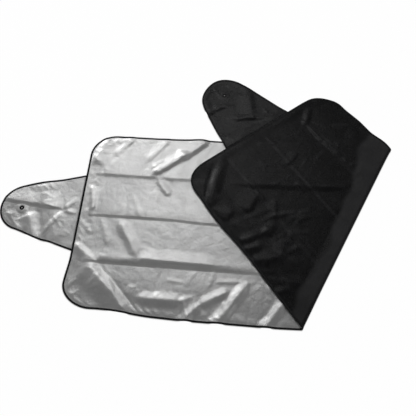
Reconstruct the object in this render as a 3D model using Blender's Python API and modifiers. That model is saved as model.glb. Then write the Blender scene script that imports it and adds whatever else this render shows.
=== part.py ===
"""A windshield sun shade of thin coated cloth, lying on the floor.

The shade is a flat rounded panel with an ear sewn to each end. One side of the cloth
is coated silver and the other is black. It lies silver side up, and its right end is
folded over along a slanting line, so that end shows the black side.

Every piece is first made flat, in the pattern's own coordinates: u runs along the
panel, v across it, and w is the height above the middle of the cloth. The function
place() then carries pattern points to the shade as it lies, round the fold and over
the creases. Lengths are metres.
"""

import math

import bmesh
import bpy
import numpy as np
from mathutils import Matrix

# the flat panel
BODY_LENGTH = 1.5
BODY_WIDTH = 0.7
CORNER_RADIUS = 0.1
# the two ears
EAR_BASE = 0.3
EAR_LENGTH = 0.286
EAR_TIP_RADIUS = 0.088
LEFT_EAR_V = 0.011
RIGHT_EAR_V = -0.004
# cloth and binding tape
CLOTH = 0.0005
TAPE = 0.0004
TAPE_WIDTH = 0.0068
GAP = 0.0003
# eyelets
EYELET_FROM_TIP = 0.078
EYELET_HOLE = 0.0055
EYELET_FLANGE = 0.017
EYELET_WALL = 0.0009
FLANGE_THICKNESS = 0.0009
# the fold
FOLD_U = 0.043
FOLD_ANGLE = math.radians(64.72)
ROLL_RADIUS = 0.005
ROLL_STEPS = 6
FOLD_STRIP = 0.055
# how the cloth lies
FLAP_CLEARANCE = 0.0009
FLAP_LOFT = 0.005
DROP_START = 0.004
DROP_WIDTH = 0.045
SETTLE_WIDTH = 0.03
EAR_BLEND = 0.045
EYELET_LIFT = 0.0015
RIDGE_END = 0.22
GRID_STEP = 0.15
CORNER_STEPS = 7
TIP_STEPS = 14

# the tables below are in millimetres of a shade of this size
UNIT = BODY_LENGTH / 1500

# heights across the silver side, each as (share of half the width, height); the
# packing folds run along the panel at no share and half a share
SILVER_SECTION = (
    (-1.0, 0.0),
    (-0.72, 3.0),
    (-0.5, 0.0),
    (-0.43, 5.0),
    (-0.30, 2.2),
    (0.0, 0.0),
    (0.08, 4.2),
    (0.25, 1.6),
    (0.45, 0.6),
    (0.5, 4.4),
    (0.70, 2.2),
    (1.0, 0.0),
)

# heights across the flap, in the same shares of the pattern's width
FLAP_SECTION = (
    (-1.0, 0.0),
    (-0.70, 3.0),
    (-0.5, 0.0),
    (-0.32, 2.6),
    (0.0, 0.4),
    (0.25, 2.8),
    (0.5, 0.0),
    (0.70, 3.2),
    (1.0, 0.0),
)

# ridges of the part that lies silver side up: start, end, height, and how far the
# left and right flanks reach, from the middle of the panel
SILVER_RIDGES = (
    # the deep fold across the lower left corner
    (-718, -150, -505, -372, 11.0, 28, 48),
    (-756, -104, -640, -188, 4.0, 20, 24),
    # crumpled folds along the near edge
    (-512, -288, -340, -283, 6.0, 26, 32),
    (-350, -262, -318, -372, 4.5, 20, 20),
    # slanting folds that gather toward the start of the flap
    (-372, -386, -284, -284, 6.0, 24, 22),
    (-300, -298, -188, -236, 5.5, 24, 22),
    (-262, -392, -125, -196, 8.0, 30, 26),
    (-100, -388, 0, -248, 6.0, 26, 24),
    # the bent ridge between the middle and the lower packing fold
    (-606, -4, -512, -152, 4.5, 30, 26),
    # ripples down from the far edge
    (-296, 366, -412, 250, 8.0, 25, 44),
    (-372, 292, -512, 176, 7.0, 25, 40),
    (-490, 174, -430, 92, 4.0, 24, 17),
    (-446, 368, -542, 224, 3.4, 16, 30),
    (-580, 366, -664, 250, 3.2, 18, 28),
    (-722, 206, -676, 336, 5.0, 24, 40),
    # small creases by the left ear
    (-722, 132, -701, 6, 4.0, 15, 15),
)

# ridges of the part that lies black side up, by where they lie on the floor
FLAP_RIDGES = (
    (-236, 170, 236, 184, 3.4, 40, 26),
    (-252, 300, -290, 60, 6.0, 30, 17),
    (-148, 176, -88, 96, 3.4, 20, 18),
    (-48, 0, -170, -66, 4.5, 17, 22),
    (-162, -98, -82, -60, 3.5, 18, 14),
    (-132, -134, -12, -108, 4.5, 24, 17),
    (-48, -238, 14, -212, 3.0, 16, 16),
    (-4, 6, 102, -112, 3.4, 18, 26),
    (62, 458, 208, 296, 3.4, 18, 26),
    (78, 550, 56, 436, 4.0, 20, 18),
)

# ridges of the ears, in the pattern for the left and on the floor for the right
LEFT_EAR_RIDGES = (
    (-1054, 46, -796, 18, 5.5, 34, 20),
    (-802, 12, -738, 2, 3.0, 14, 14),
    (-802, 14, -876, -98, 3.0, 12, 14),
    (-806, 14, -756, 72, 3.0, 14, 14),
    (-896, 24, -838, -130, 5.5, 15, 34),
    (-1006, 6, -938, -104, 5.0, 26, 30),
)
RIGHT_EAR_RIDGES = (
    (-160, 602, -136, 452, 6.0, 16, 18),
    (-250, 456, -30, 478, 4.0, 22, 17),
    (-258, 526, -330, 460, 4.0, 18, 18),
)

# where the folds draw the cloth aside over the floor: x, y, by x, by y, radius
DRIFT = (
    (-60, -351, 0, -6, 240),
    (-300, -351, 0, -5, 220),
    (-630, -351, 1, 13, 190),
    (-750, -265, -8, -1, 110),
    (-925, 109, -2, 6, 110),
    (-885, -99, 0, -5, 70),
    (-640, 350, 0, -9, 190),
    (-470, 350, 0, -6, 150),
    (-330, 500, -18, -9, 140),
    (-280, 395, -7, -4, 90),
    (-235, 642, -1, -6, 90),
    (-245, 565, -3, -2, 90),
    (155, 590, -3, -13, 125),
    (230, 535, -5, -5, 80),
    (355, 380, 6, 7, 80),
    (-255, 30, -7, -6, 170),
    (-355, 165, -11, 1, 85),
)

SILVER = (0.53, 0.53, 0.52, 1.0)
BLACK = (0.012, 0.012, 0.013, 1.0)

HALF_LENGTH = BODY_LENGTH / 2
HALF_WIDTH = BODY_WIDTH / 2
TAPE_INSIDE = CLOTH / 2 + GAP
TAPE_OUTSIDE = TAPE_INSIDE + TAPE
CLOTH_EDGE = TAPE + GAP
SEAM_STRIP = TAPE_WIDTH + 0.0008
LEVEL_STRIP = SEAM_STRIP + 0.0012
STACK = 2 * TAPE_OUTSIDE + GAP + FLAP_CLEARANCE
EYELET_PLATE = 0.0105
EYELET_SQUARE = 0.0118

FOLD_ORIGIN = np.array([FOLD_U, -HALF_WIDTH])
ALONG = np.array([math.cos(FOLD_ANGLE), math.sin(FOLD_ANGLE)])
ACROSS = np.array([math.sin(FOLD_ANGLE), -math.cos(FOLD_ANGLE)])
# the near edge of the panel, turned over, is the flap's left edge
EDGE_IN = np.array([math.sin(2 * FOLD_ANGLE), -math.cos(2 * FOLD_ANGLE)])
ROLL_LENGTH = math.pi * ROLL_RADIUS


def smooth(x):
    x = np.clip(x, 0.0, 1.0)
    return x * x * (3.0 - 2.0 * x)


def ridge_sum(x, y, ridges):
    """Height of a set of ridges, highest along their lines and tapering to their ends."""
    total = np.zeros_like(x)
    for x0, y0, x1, y1, high, left, right in ridges:
        run = np.array([x1 - x0, y1 - y0]) * UNIT
        length = math.hypot(*run)
        run = run / length
        from_x, from_y = x - x0 * UNIT, y - y0 * UNIT
        t = (from_x * run[0] + from_y * run[1]) / length
        ends = smooth(t / RIDGE_END) * smooth((1.0 - t) / RIDGE_END)
        q = from_x * run[1] - from_y * run[0]
        reach = np.where(q > 0, right, left) * UNIT * (0.35 + 0.65 * ends)
        near = np.clip(1.0 - np.abs(q) / reach, 0.0, 1.0)
        shape = 0.5 * near + 0.5 * near * near * (3.0 - 2.0 * near)
        total = total + high * UNIT * shape * ends
    return total


def section(v, table):
    shares = [HALF_WIDTH * row[0] for row in table]
    return np.interp(v, shares, [row[1] * UNIT for row in table])


def eyelet_at(side):
    """An eyelet's centre in the pattern; side is minus one for the left ear."""
    from_middle = HALF_LENGTH + GAP + EAR_LENGTH - EYELET_FROM_TIP
    return side * from_middle, LEFT_EAR_V if side < 0 else RIGHT_EAR_V


def panel_depth(u, v):
    """How far pattern points are inside the panel's outline, and the way out of it."""
    qx = np.abs(u) - (HALF_LENGTH - CORNER_RADIUS)
    qy = np.abs(v) - (HALF_WIDTH - CORNER_RADIUS)
    ox, oy = np.maximum(qx, 0.0), np.maximum(qy, 0.0)
    out = np.maximum(np.hypot(ox, oy), 1e-9)
    depth = CORNER_RADIUS - np.where(np.maximum(qx, qy) > 0, out, np.maximum(qx, qy))
    return depth, ox, oy, out


def on_panel_line(u, v):
    """Points of the panel's bound edge moved in to where the tape ends, and their depth."""
    depth, ox, oy, out = panel_depth(u, v)
    move = np.maximum(LEVEL_STRIP - depth, 0.0)
    moved_u = u - np.sign(u) * ox / out * move
    return moved_u, v - np.sign(v) * oy / out * move, np.maximum(depth, LEVEL_STRIP)


def on_ear_line(u, v):
    """The same for the bound edges of the ears, with the depth from base and edges."""
    side = np.sign(u)
    middle = np.where(u < 0, LEFT_EAR_V, RIGHT_EAR_V)
    along, off = np.abs(u) - HALF_LENGTH - GAP, v - middle
    centre, taper = EAR_LENGTH - EAR_TIP_RADIUS, ear_taper()
    tip = np.arctan2(np.abs(off), along - centre) < math.pi / 2 - taper
    far = np.maximum(np.hypot(along - centre, off), 1e-9)
    nx = np.where(tip, (along - centre) / far, math.sin(taper))
    ny = np.where(tip, off / far, math.cos(taper) * np.sign(off))
    by_side = (EAR_BASE / 2 - np.abs(off)) * math.cos(taper) - along * math.sin(taper)
    depth = np.where(tip, EAR_TIP_RADIUS - far, by_side)
    move = np.maximum(LEVEL_STRIP - depth, 0.0)
    depth = np.maximum(depth, LEVEL_STRIP)
    return u - side * nx * move, v - ny * move, depth


def ear_taper():
    reach = math.hypot(EAR_LENGTH - EAR_TIP_RADIUS, EAR_BASE / 2)
    lean = math.atan2(EAR_BASE / 2, EAR_LENGTH - EAR_TIP_RADIUS)
    return lean - math.asin(EAR_TIP_RADIUS / reach)


def settle(depth):
    """How far the cloth sinks inside its thicker bound edge, until it meets the floor."""
    return (TAPE_OUTSIDE - CLOTH / 2) * smooth((depth - LEVEL_STRIP) / SETTLE_WIDTH)


def into_flap(x, y):
    """How far a floor point is inside the flap's left edge, the panel's near edge."""
    return (x - FOLD_ORIGIN[0]) * EDGE_IN[0] + (y - FOLD_ORIGIN[1]) * EDGE_IN[1]


def below_flap(x, y):
    """How far a floor point is inside the outline of the flap that lies over it."""
    turned = ROLL_LENGTH - 2 * fold_side(x, y)
    return panel_depth(x + turned * ACROSS[0], y + turned * ACROSS[1])[0]


def panel_folds(x, y):
    """Folds of the panel where it lies silver side up."""
    # the flap's short edge lies closer to the silver side than its long edge
    closer = 45 * smooth((into_flap(x, y) / UNIT - 40) / 60)
    uncovered = 1.0 - smooth((below_flap(x, y) / UNIT + closer) / 55)
    a, b = x / UNIT / 1000, y / UNIT / 1000
    swell = 1.0 + 0.22 * np.sin(9.0 * a + 3.0 * b) + 0.12 * np.sin(21.0 * a - 8.0 * b)
    from_end = (x + HALF_LENGTH) / UNIT
    folds = section(y, SILVER_SECTION) * swell * smooth(from_end / 90)
    ridges = ridge_sum(x, y, SILVER_RIDGES) * np.clip(from_end / 20, 0, 1)
    return (folds + ridges) * uncovered


def ear_folds(x, y, side):
    """Folds of an ear by where it lies, flat and lifted a little around its eyelet."""
    ridges = LEFT_EAR_RIDGES if side < 0 else RIGHT_EAR_RIDGES
    x0, y0 = flat_place(*(np.array([value]) for value in eyelet_at(side)))
    level = max(ridge_sum(x0, y0, ridges)[0], EYELET_LIFT)
    off = np.hypot(x - x0, y - y0)
    folds = ridge_sum(x, y, ridges)
    return level + (folds - level) * smooth((off - EYELET_PLATE) / (12 * UNIT))


def rest_height(x, y):
    """What the turned over cloth lies on: the panel's silver side, then the floor."""
    over_body = 1.0 - smooth((y - HALF_WIDTH - DROP_START) / DROP_WIDTH)
    loft = FLAP_LOFT * (1.0 - smooth((into_flap(x, y) / UNIT - 60) / 50))
    return TAPE_OUTSIDE + (STACK + loft) * over_body


def height(s, x, y, depth, folds):
    """Middle of the cloth above the floor; s is how far a point is past the fold."""
    flat = TAPE_OUTSIDE - settle(depth) + np.where(s > 0, 0.0, folds)
    strip = FOLD_STRIP * (1.0 + 0.6 * smooth((y / UNIT - 100) / 300))
    past = np.maximum(s - ROLL_LENGTH, 0.0)
    climb = 1.0 - np.clip(past / strip, 0.0, 1.0)
    top = TAPE_OUTSIDE + 2 * ROLL_RADIUS
    rest = rest_height(x, y) - settle(depth) * smooth((y - HALF_WIDTH - DROP_WIDTH) / (30 * UNIT))
    over = rest + (top - rest) * climb + folds * smooth(past / strip)
    turn = np.clip(s / ROLL_RADIUS, 0.0, math.pi)
    rolled = flat + (top - flat) * 0.5 * (1.0 - np.cos(turn))
    return np.where(s > ROLL_LENGTH, over, rolled)


def flap_folds(x, y, v):
    """Folds of the panel where it is turned over."""
    return section(v, FLAP_SECTION) + ridge_sum(x, y, FLAP_RIDGES)


def panel_height(s, u, v):
    u, v, depth = on_panel_line(u, v)
    x, y = flat_place(u, v)
    turned = flap_folds(x, y, v) * smooth((HALF_LENGTH - u) / (70 * UNIT))
    return height(s, x, y, depth, np.where(s > 0, turned, panel_folds(x, y)))


def ear_height(s, u, v):
    u, v, depth = on_ear_line(u, v)
    x, y = flat_place(u, v)
    folds = np.where(u < 0, ear_folds(x, y, -1), ear_folds(x, y, 1))
    return height(s, x, y, depth, folds)


def fold_side(u, v):
    """How far a pattern point is past the fold line, to the right of it."""
    return (u - FOLD_ORIGIN[0]) * ACROSS[0] + (v - FOLD_ORIGIN[1]) * ACROSS[1]


def flat_place(u, v):
    """Where pattern points lie on the floor, seen from above."""
    s = fold_side(u, v)
    turn = np.clip(s / ROLL_RADIUS, 0.0, math.pi)
    now = np.where(s > ROLL_LENGTH, ROLL_LENGTH - s, ROLL_RADIUS * np.sin(turn))
    now = np.where(s > 0, now, s)
    return u + (now - s) * ACROSS[0], v + (now - s) * ACROSS[1]


def drift(x, y):
    """How far the folds draw the cloth aside, over the floor."""
    dx, dy = np.zeros_like(x), np.zeros_like(x)
    for x0, y0, by_x, by_y, radius in DRIFT:
        off = np.hypot(x - x0 * UNIT, y - y0 * UNIT) / (radius * UNIT)
        near = smooth(1.0 - off) * UNIT
        dx = dx + by_x * near
        dy = dy + by_y * near
    return dx, dy


def surface(u, v):
    """The middle of the cloth as it lies."""
    s = fold_side(u, v)
    x, y = flat_place(u, v)
    edge = np.clip(u, -HALF_LENGTH, HALF_LENGTH)
    panel = panel_height(s - (u - edge) * ACROSS[0], edge, v)
    ear = ear_height(s, u, v)
    away = smooth((np.abs(u) - HALF_LENGTH - GAP) / EAR_BLEND)
    dx, dy = drift(x, y)
    return np.stack([x + dx, y + dy, panel + (ear - panel) * away], axis=-1)


def place(points):
    """Pattern points (u, v, w) carried to the shade as it lies."""
    points = np.asarray(points, float)
    u, v, w = points[:, 0], points[:, 1], points[:, 2]
    step = 0.0012
    du = surface(u + step, v) - surface(u - step, v)
    dv = surface(u, v + step) - surface(u, v - step)
    normal = np.cross(du, dv)
    normal = normal / np.linalg.norm(normal, axis=1)[:, None]
    return surface(u, v) + normal * w[:, None]


# flat outlines


def panel_outline(inset):
    """The rounded panel's outline, moved in by inset."""
    radius = CORNER_RADIUS - inset
    points = []
    for k, (a, b) in enumerate(((1, 1), (-1, 1), (-1, -1), (1, -1))):
        cx = a * (HALF_LENGTH - CORNER_RADIUS)
        cy = b * (HALF_WIDTH - CORNER_RADIUS)
        for i in range(CORNER_STEPS + 1):
            angle = math.pi / 2 * (k + i / CORNER_STEPS)
            points.append((cx + radius * math.cos(angle), cy + radius * math.sin(angle)))
    return points


def ear_outline(side, inset):
    """An ear's outline from one end of its base, round the tip, to the other."""
    middle = LEFT_EAR_V if side < 0 else RIGHT_EAR_V
    base = HALF_LENGTH + GAP
    centre = base + EAR_LENGTH - EAR_TIP_RADIUS
    taper = ear_taper()
    radius = EAR_TIP_RADIUS - inset
    half = EAR_BASE / 2 - inset / math.cos(taper)
    points = [(side * base, middle + half)]
    sweep = math.pi / 2 - taper
    for i in range(TIP_STEPS + 1):
        angle = sweep - 2 * sweep * i / TIP_STEPS
        far = centre + radius * math.cos(angle)
        points.append((side * far, middle + radius * math.sin(angle)))
    points.append((side * base, middle - half))
    return points


def flat_mesh(name, outline):
    """One flat face from a filled 2D curve."""
    curve = bpy.data.curves.new(name, "CURVE")
    curve.dimensions = "2D"
    curve.fill_mode = "BOTH"
    spline = curve.splines.new("POLY")
    spline.points.add(len(outline) - 1)
    for point, (x, y) in zip(spline.points, outline):
        point.co = (x, y, 0.0, 1.0)
    spline.use_cyclic_u = True
    outline_object = bpy.data.objects.new(name, curve)
    bpy.context.scene.collection.objects.link(outline_object)
    graph = bpy.context.evaluated_depsgraph_get()
    mesh = bpy.data.meshes.new_from_object(outline_object.evaluated_get(graph))
    bpy.data.objects.remove(outline_object)
    bm = bmesh.new()
    bm.from_mesh(mesh)
    bpy.data.meshes.remove(mesh)
    bmesh.ops.remove_doubles(bm, verts=bm.verts, dist=1e-6)
    bmesh.ops.dissolve_faces(bm, faces=bm.faces)
    for face in bm.faces:
        if face.normal.z < 0:
            face.normal_flip()
    return bm


def cut(bm, point, direction, area=None):
    """Cuts the flat mesh along a line, all over or only near one stretch of it."""
    faces = list(bm.faces)
    if area is not None:
        (ax, ay), (dx, dy), length, half = area
        faces = []
        for face in bm.faces:
            along = [(p.co.x - ax) * dx + (p.co.y - ay) * dy for p in face.verts]
            across = [(p.co.x - ax) * dy - (p.co.y - ay) * dx for p in face.verts]
            if min(along) < length and max(along) > 0.0:
                if min(across) < half and max(across) > -half:
                    faces.append(face)
    if not faces:
        return
    edges = {edge for face in faces for edge in face.edges}
    verts = {vert for face in faces for vert in face.verts}
    bmesh.ops.bisect_plane(
        bm,
        geom=list(verts) + list(edges) + faces,
        dist=2e-5,
        plane_co=(point[0], point[1], 0.0),
        plane_no=(-direction[1], direction[0], 0.0),
    )


def cut_ridge(bm, ridge, turned):
    """Cuts along a ridge's crest and feet and across its ends."""
    x0, y0, x1, y1, _, left, right = (value * UNIT for value in ridge)
    ends = np.array([[x0, y0], [x1, y1]])
    if turned:
        s = (ends - FOLD_ORIGIN) @ ACROSS
        ends = ends + np.outer(ROLL_LENGTH - 2 * s, ACROSS)
        left, right = right, left
    run = ends[1] - ends[0]
    length = math.hypot(*run)
    run = run / length
    side = np.array([-run[1], run[0]])
    area = (ends[0], run, length, max(left, right) * 0.98)
    for offset in (0.0, left, -right):
        shift = ends[0] + side * offset
        narrow = (shift, run, length, abs(offset) * 0.02)
        cut(bm, shift, run, area if offset == 0.0 else narrow)
    for share in (0.0, RIDGE_END, 1.0 - RIDGE_END, 1.0):
        point = ends[0] + run * length * share
        start = point - side * right * 0.98
        cut(bm, point, side, (start, side, (left + right) * 0.98, 0.5 * UNIT))


def cut_across_flap(bm, y):
    """Cuts the turned over cloth along the floor line at y."""
    ends = np.array([[-BODY_LENGTH, y], [BODY_LENGTH, y]])
    s = (ends - FOLD_ORIGIN) @ ACROSS
    ends = ends + np.outer(ROLL_LENGTH - 2 * s, ACROSS)
    run = ends[1] - ends[0]
    length = math.hypot(*run)
    run = run / length
    # the part of the line that is past the fold
    past = (ends - FOLD_ORIGIN) @ ACROSS - ROLL_LENGTH
    share = past[0] / (past[0] - past[1])
    cut(bm, ends[0], run, (ends[0], run, length * share, 0.5 * UNIT))


def drop_lines(bm):
    """Cuts the turned over cloth where it steps down from the panel to the floor."""
    for far in (DROP_START * 0.5, DROP_START + DROP_WIDTH / 2, DROP_START + DROP_WIDTH):
        cut_across_flap(bm, HALF_WIDTH + far)


def roll_lines(bm):
    for k in range(ROLL_STEPS + 1):
        cut(bm, FOLD_ORIGIN + ACROSS * ROLL_LENGTH * k / ROLL_STEPS, ALONG)
    for s in (-20 * UNIT, ROLL_LENGTH + 18 * UNIT, ROLL_LENGTH + FOLD_STRIP):
        cut(bm, FOLD_ORIGIN + ACROSS * s, ALONG)


def border_loops(bm):
    """The outer edge of a flat mesh as an ordered list of its vertices."""
    edges = [edge for edge in bm.edges if edge.is_boundary]
    links = {}
    for edge in edges:
        one = edge.link_loops[0]
        links[one.vert] = one.link_loop_next.vert
    order = [edges[0].link_loops[0].vert]
    while links[order[-1]] is not order[0]:
        order.append(links[order[-1]])
    return order


def outward(points, closed):
    """Mitred outward steps for points that run anticlockwise."""
    count = len(points)
    steps = []
    for i in range(count):
        before = points[i] - points[i - 1]
        after = points[(i + 1) % count] - points[i]
        if not closed and i == 0:
            before = after
        if not closed and i == count - 1:
            after = before
        a = np.array([before[1], -before[0]]) / np.linalg.norm(before)
        b = np.array([after[1], -after[0]]) / np.linalg.norm(after)
        step = (a + b) / (1.0 + a @ b)
        # on the roll the tape is crossed parallel to the fold, so it wraps cleanly
        s = (points[i] - FOLD_ORIGIN) @ ACROSS
        if -0.0005 < s < ROLL_LENGTH + 0.0005:
            step = ALONG * (step @ step) / (ALONG @ step)
        steps.append(step)
    return np.array(steps)


def lay(bm):
    points = place([tuple(vert.co) for vert in bm.verts])
    for vert, point in zip(bm.verts, points):
        vert.co = point


def finish(bm, name, collection, materials):
    mesh = bpy.data.meshes.new(name)
    bmesh.ops.recalc_face_normals(bm, faces=bm.faces)
    bm.to_mesh(mesh)
    bm.free()
    mesh.shade_smooth()
    mesh.set_sharp_from_angle(angle=math.radians(24))
    for material in materials:
        mesh.materials.append(material)
    result = bpy.data.objects.new(name, mesh)
    collection.objects.link(result)
    return result


def make_tape(name, stations, steps, closed, collection, material):
    """Binding tape folded over an edge: a path carried round the tape's section."""
    profile = (
        (TAPE_WIDTH, TAPE_OUTSIDE),
        (0.0, TAPE_OUTSIDE),
        (0.0, -TAPE_OUTSIDE),
        (TAPE_WIDTH, -TAPE_OUTSIDE),
        (TAPE_WIDTH, -TAPE_INSIDE),
        (TAPE, -TAPE_INSIDE),
        (TAPE, TAPE_INSIDE),
        (TAPE_WIDTH, TAPE_INSIDE),
    )
    bm = bmesh.new()
    count = len(stations)

    def ring(depth, height):
        flat = stations + steps * (SEAM_STRIP - depth)
        return [(p[0], p[1], height) for p in flat]

    verts = [bm.verts.new(p) for p in ring(*profile[0])]
    edges = [bm.edges.new((verts[i], verts[i + 1])) for i in range(count - 1)]
    if closed:
        edges.append(bm.edges.new((verts[-1], verts[0])))
    first = list(edges)
    for depth, height in profile[1:]:
        grown = bmesh.ops.extrude_edge_only(bm, edges=edges)["geom"]
        fresh = [g for g in grown if isinstance(g, bmesh.types.BMVert)]
        edges = [g for g in grown if isinstance(g, bmesh.types.BMEdge)]
        edges = [e for e in edges if all(v in fresh for v in e.verts)]
        pairs = {}
        for vert in fresh:
            for edge in vert.link_edges:
                other = edge.other_vert(vert)
                if other in verts:
                    pairs[other] = vert
        verts = [pairs[vert] for vert in verts]
        for vert, point in zip(verts, ring(depth, height)):
            vert.co = point
    bmesh.ops.bridge_loops(bm, edges=first + edges)
    if not closed:
        bmesh.ops.holes_fill(bm, edges=[e for e in bm.edges if e.is_boundary], sides=0)
    lay(bm)
    bmesh.ops.triangulate(bm, faces=[f for f in bm.faces if len(f.verts) > 4])
    return finish(bm, name, collection, [material])


def add_cloth(bm, name, collection, materials):
    """A flat mesh laid out and given the cloth's thickness, silver above, black below."""
    bmesh.ops.triangulate(bm, faces=bm.faces, quad_method="BEAUTY", ngon_method="BEAUTY")
    lay(bm)
    cloth = finish(bm, name, collection, materials)
    # the pattern's silver side faces up before it is folded
    shell = cloth.modifiers.new("Cloth thickness", "SOLIDIFY")
    shell.thickness = CLOTH
    shell.offset = 0.0
    shell.material_offset = 1
    shell.material_offset_rim = 1
    return cloth


def make_panel(collection, materials, tape_material):
    bm = flat_mesh("panel", panel_outline(SEAM_STRIP))
    roll_lines(bm)
    rows = sorted({round(share * HALF_WIDTH, 6) for share, _ in SILVER_SECTION[1:-1]})
    for v in rows:
        cut(bm, (0.0, v), (1.0, 0.0))
    columns = int(BODY_LENGTH / GRID_STEP)
    for k in range(1, columns):
        cut(bm, (-HALF_LENGTH + BODY_LENGTH * k / columns, 0.0), (0.0, 1.0))
    for ridge in SILVER_RIDGES:
        cut_ridge(bm, ridge, False)
    for ridge in FLAP_RIDGES:
        cut_ridge(bm, ridge, True)
    drop_lines(bm)
    bmesh.ops.remove_doubles(bm, verts=bm.verts, dist=0.0008)
    order = border_loops(bm)
    stations = np.array([vert.co[:2] for vert in order])
    steps = outward(stations, True)
    widen(bm, order, steps, True)
    add_cloth(bm, "panel_cloth", collection, materials)
    make_tape("panel_binding", stations, steps, True, collection, tape_material)


def widen(bm, order, steps, closed):
    """Grows the strip of cloth that the tape covers, out from the ordered vertices."""
    pairs = zip(order, order[1:] + (order[:1] if closed else []))
    edges = [bm.edges.get(pair) for pair in pairs]
    grown = bmesh.ops.extrude_edge_only(bm, edges=edges)["geom"]
    fresh = [g for g in grown if isinstance(g, bmesh.types.BMVert)]
    old = {vert: i for i, vert in enumerate(order)}
    for vert in fresh:
        for edge in vert.link_edges:
            other = edge.other_vert(vert)
            if other in old:
                shift = steps[old[other]] * (SEAM_STRIP - CLOTH_EDGE)
                vert.co.x = other.co.x + shift[0]
                vert.co.y = other.co.y + shift[1]
                break


def make_ear(side, word, collection, materials, tape_material):
    bm = flat_mesh(word + "_ear", ear_outline(side, SEAM_STRIP))
    u0, v0 = eyelet_at(side)
    for k in range(1, 4):
        u = side * (HALF_LENGTH + EAR_LENGTH * k / 4)
        cut(bm, (u, 0.0), (0.0, 1.0))
    for v in (v0 - EAR_BASE / 5, v0 + EAR_BASE / 5):
        cut(bm, (0.0, v), (1.0, 0.0))
    if side > 0:
        drop_lines(bm)
    ridges = LEFT_EAR_RIDGES if side < 0 else RIGHT_EAR_RIDGES
    for ridge in ridges:
        cut_ridge(bm, ridge, side > 0)
    half = EYELET_SQUARE
    for offset in (-half, half):
        corner = (u0 + offset, v0 - half)
        cut(bm, corner, (0.0, 1.0), (corner, (0.0, 1.0), 2 * half, 0.0002))
    for offset in (-half, half):
        corner = (u0 - half, v0 + offset)
        cut(bm, corner, (1.0, 0.0), (corner, (1.0, 0.0), 2 * half, 0.0002))
    bmesh.ops.remove_doubles(bm, verts=bm.verts, dist=0.0008)
    inside = []
    for face in bm.faces:
        middle = face.calc_center_median()
        if abs(middle.x - u0) < half and abs(middle.y - v0) < half:
            inside.append(face)
    bmesh.ops.delete(bm, geom=inside, context="FACES")
    square = []
    for edge in bm.edges:
        if edge.is_boundary:
            ends = [(v.co.x - u0, v.co.y - v0) for v in edge.verts]
            if all(max(abs(a), abs(b)) < half * 1.01 for a, b in ends):
                square.append(edge)
    ring = bmesh.ops.create_circle(bm, segments=12, radius=EYELET_PLATE)["verts"]
    for vert in ring:
        vert.co.x += u0
        vert.co.y += v0
    ring_edges = list({edge for vert in ring for edge in vert.link_edges})
    bmesh.ops.triangle_fill(bm, edges=square + ring_edges, use_beauty=True)
    hole = bmesh.ops.extrude_edge_only(bm, edges=ring_edges)["geom"]
    for vert in hole:
        if isinstance(vert, bmesh.types.BMVert):
            away = np.array([vert.co.x - u0, vert.co.y - v0])
            shrink = (EYELET_HOLE / 2 + EYELET_WALL + GAP) / EYELET_PLATE
            vert.co.x = u0 + away[0] * shrink
            vert.co.y = v0 + away[1] * shrink
    for face in bm.faces:
        if face.normal.z < 0:
            face.normal_flip()
    order = ear_border(bm, side)
    stations = np.array([vert.co[:2] for vert in order])
    steps = outward(stations, False)
    base = HALF_LENGTH + GAP
    for end in (0, -1):
        # the strip's ends stay on the ear's base line
        steps[end] = np.array([0.0, steps[end][1] + steps[end][0] ** 2 / steps[end][1]])
        stations[end][0] = side * base
    widen(bm, order, steps, False)
    add_cloth(bm, word + "_ear_cloth", collection, materials)
    make_tape(word + "_ear_binding", stations, steps, False, collection, tape_material)


def ear_border(bm, side):
    """The ear's outer vertices from one end of the base round the tip to the other."""
    base = side * (HALF_LENGTH + GAP)
    links = {}
    for edge in bm.edges:
        if edge.is_boundary:
            one = edge.link_loops[0]
            links[one.vert] = one.link_loop_next.vert
    ends = [v for v in links if abs(v.co.x - base) < 1e-6]
    low = min(ends, key=lambda v: v.co.y)
    high = max(ends, key=lambda v: v.co.y)
    start, stop = (high, low) if side < 0 else (low, high)
    order = [start]
    while order[-1] is not stop:
        order.append(links[order[-1]])
    return order


def turned_piece(name, profile, side, collection, material, segments=16):
    """A round piece turned about the eyelet's axis and set square to the cloth."""
    mesh = bpy.data.meshes.new(name)
    bm = bmesh.new()
    verts = [bm.verts.new((r, 0.0, z)) for r, z in profile]
    for i, vert in enumerate(verts):
        bm.edges.new((vert, verts[(i + 1) % len(verts)]))
    bm.to_mesh(mesh)
    bm.free()
    mesh.materials.append(material)
    piece = bpy.data.objects.new(name, mesh)
    collection.objects.link(piece)
    screw = piece.modifiers.new("Turn", "SCREW")
    screw.steps = segments
    screw.render_steps = segments
    screw.use_merge_vertices = True
    screw.merge_threshold = 0.00005
    screw.use_smooth_shade = True
    u0, v0 = eyelet_at(side)
    near = 0.004
    a, b, c, d = place([(u0, v0, 0), (u0 + near, v0, 0), (u0, v0 + near, 0), (u0, v0, 0.001)])
    x_axis = (b - a) / np.linalg.norm(b - a)
    z_axis = (d - a) / np.linalg.norm(d - a)
    y_axis = np.cross(z_axis, x_axis)
    y_axis = y_axis / np.linalg.norm(y_axis)
    x_axis = np.cross(y_axis, z_axis)
    turned = Matrix((x_axis, y_axis, z_axis)).transposed()
    piece.location = a
    piece.rotation_euler = turned.to_euler()
    return piece


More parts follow.
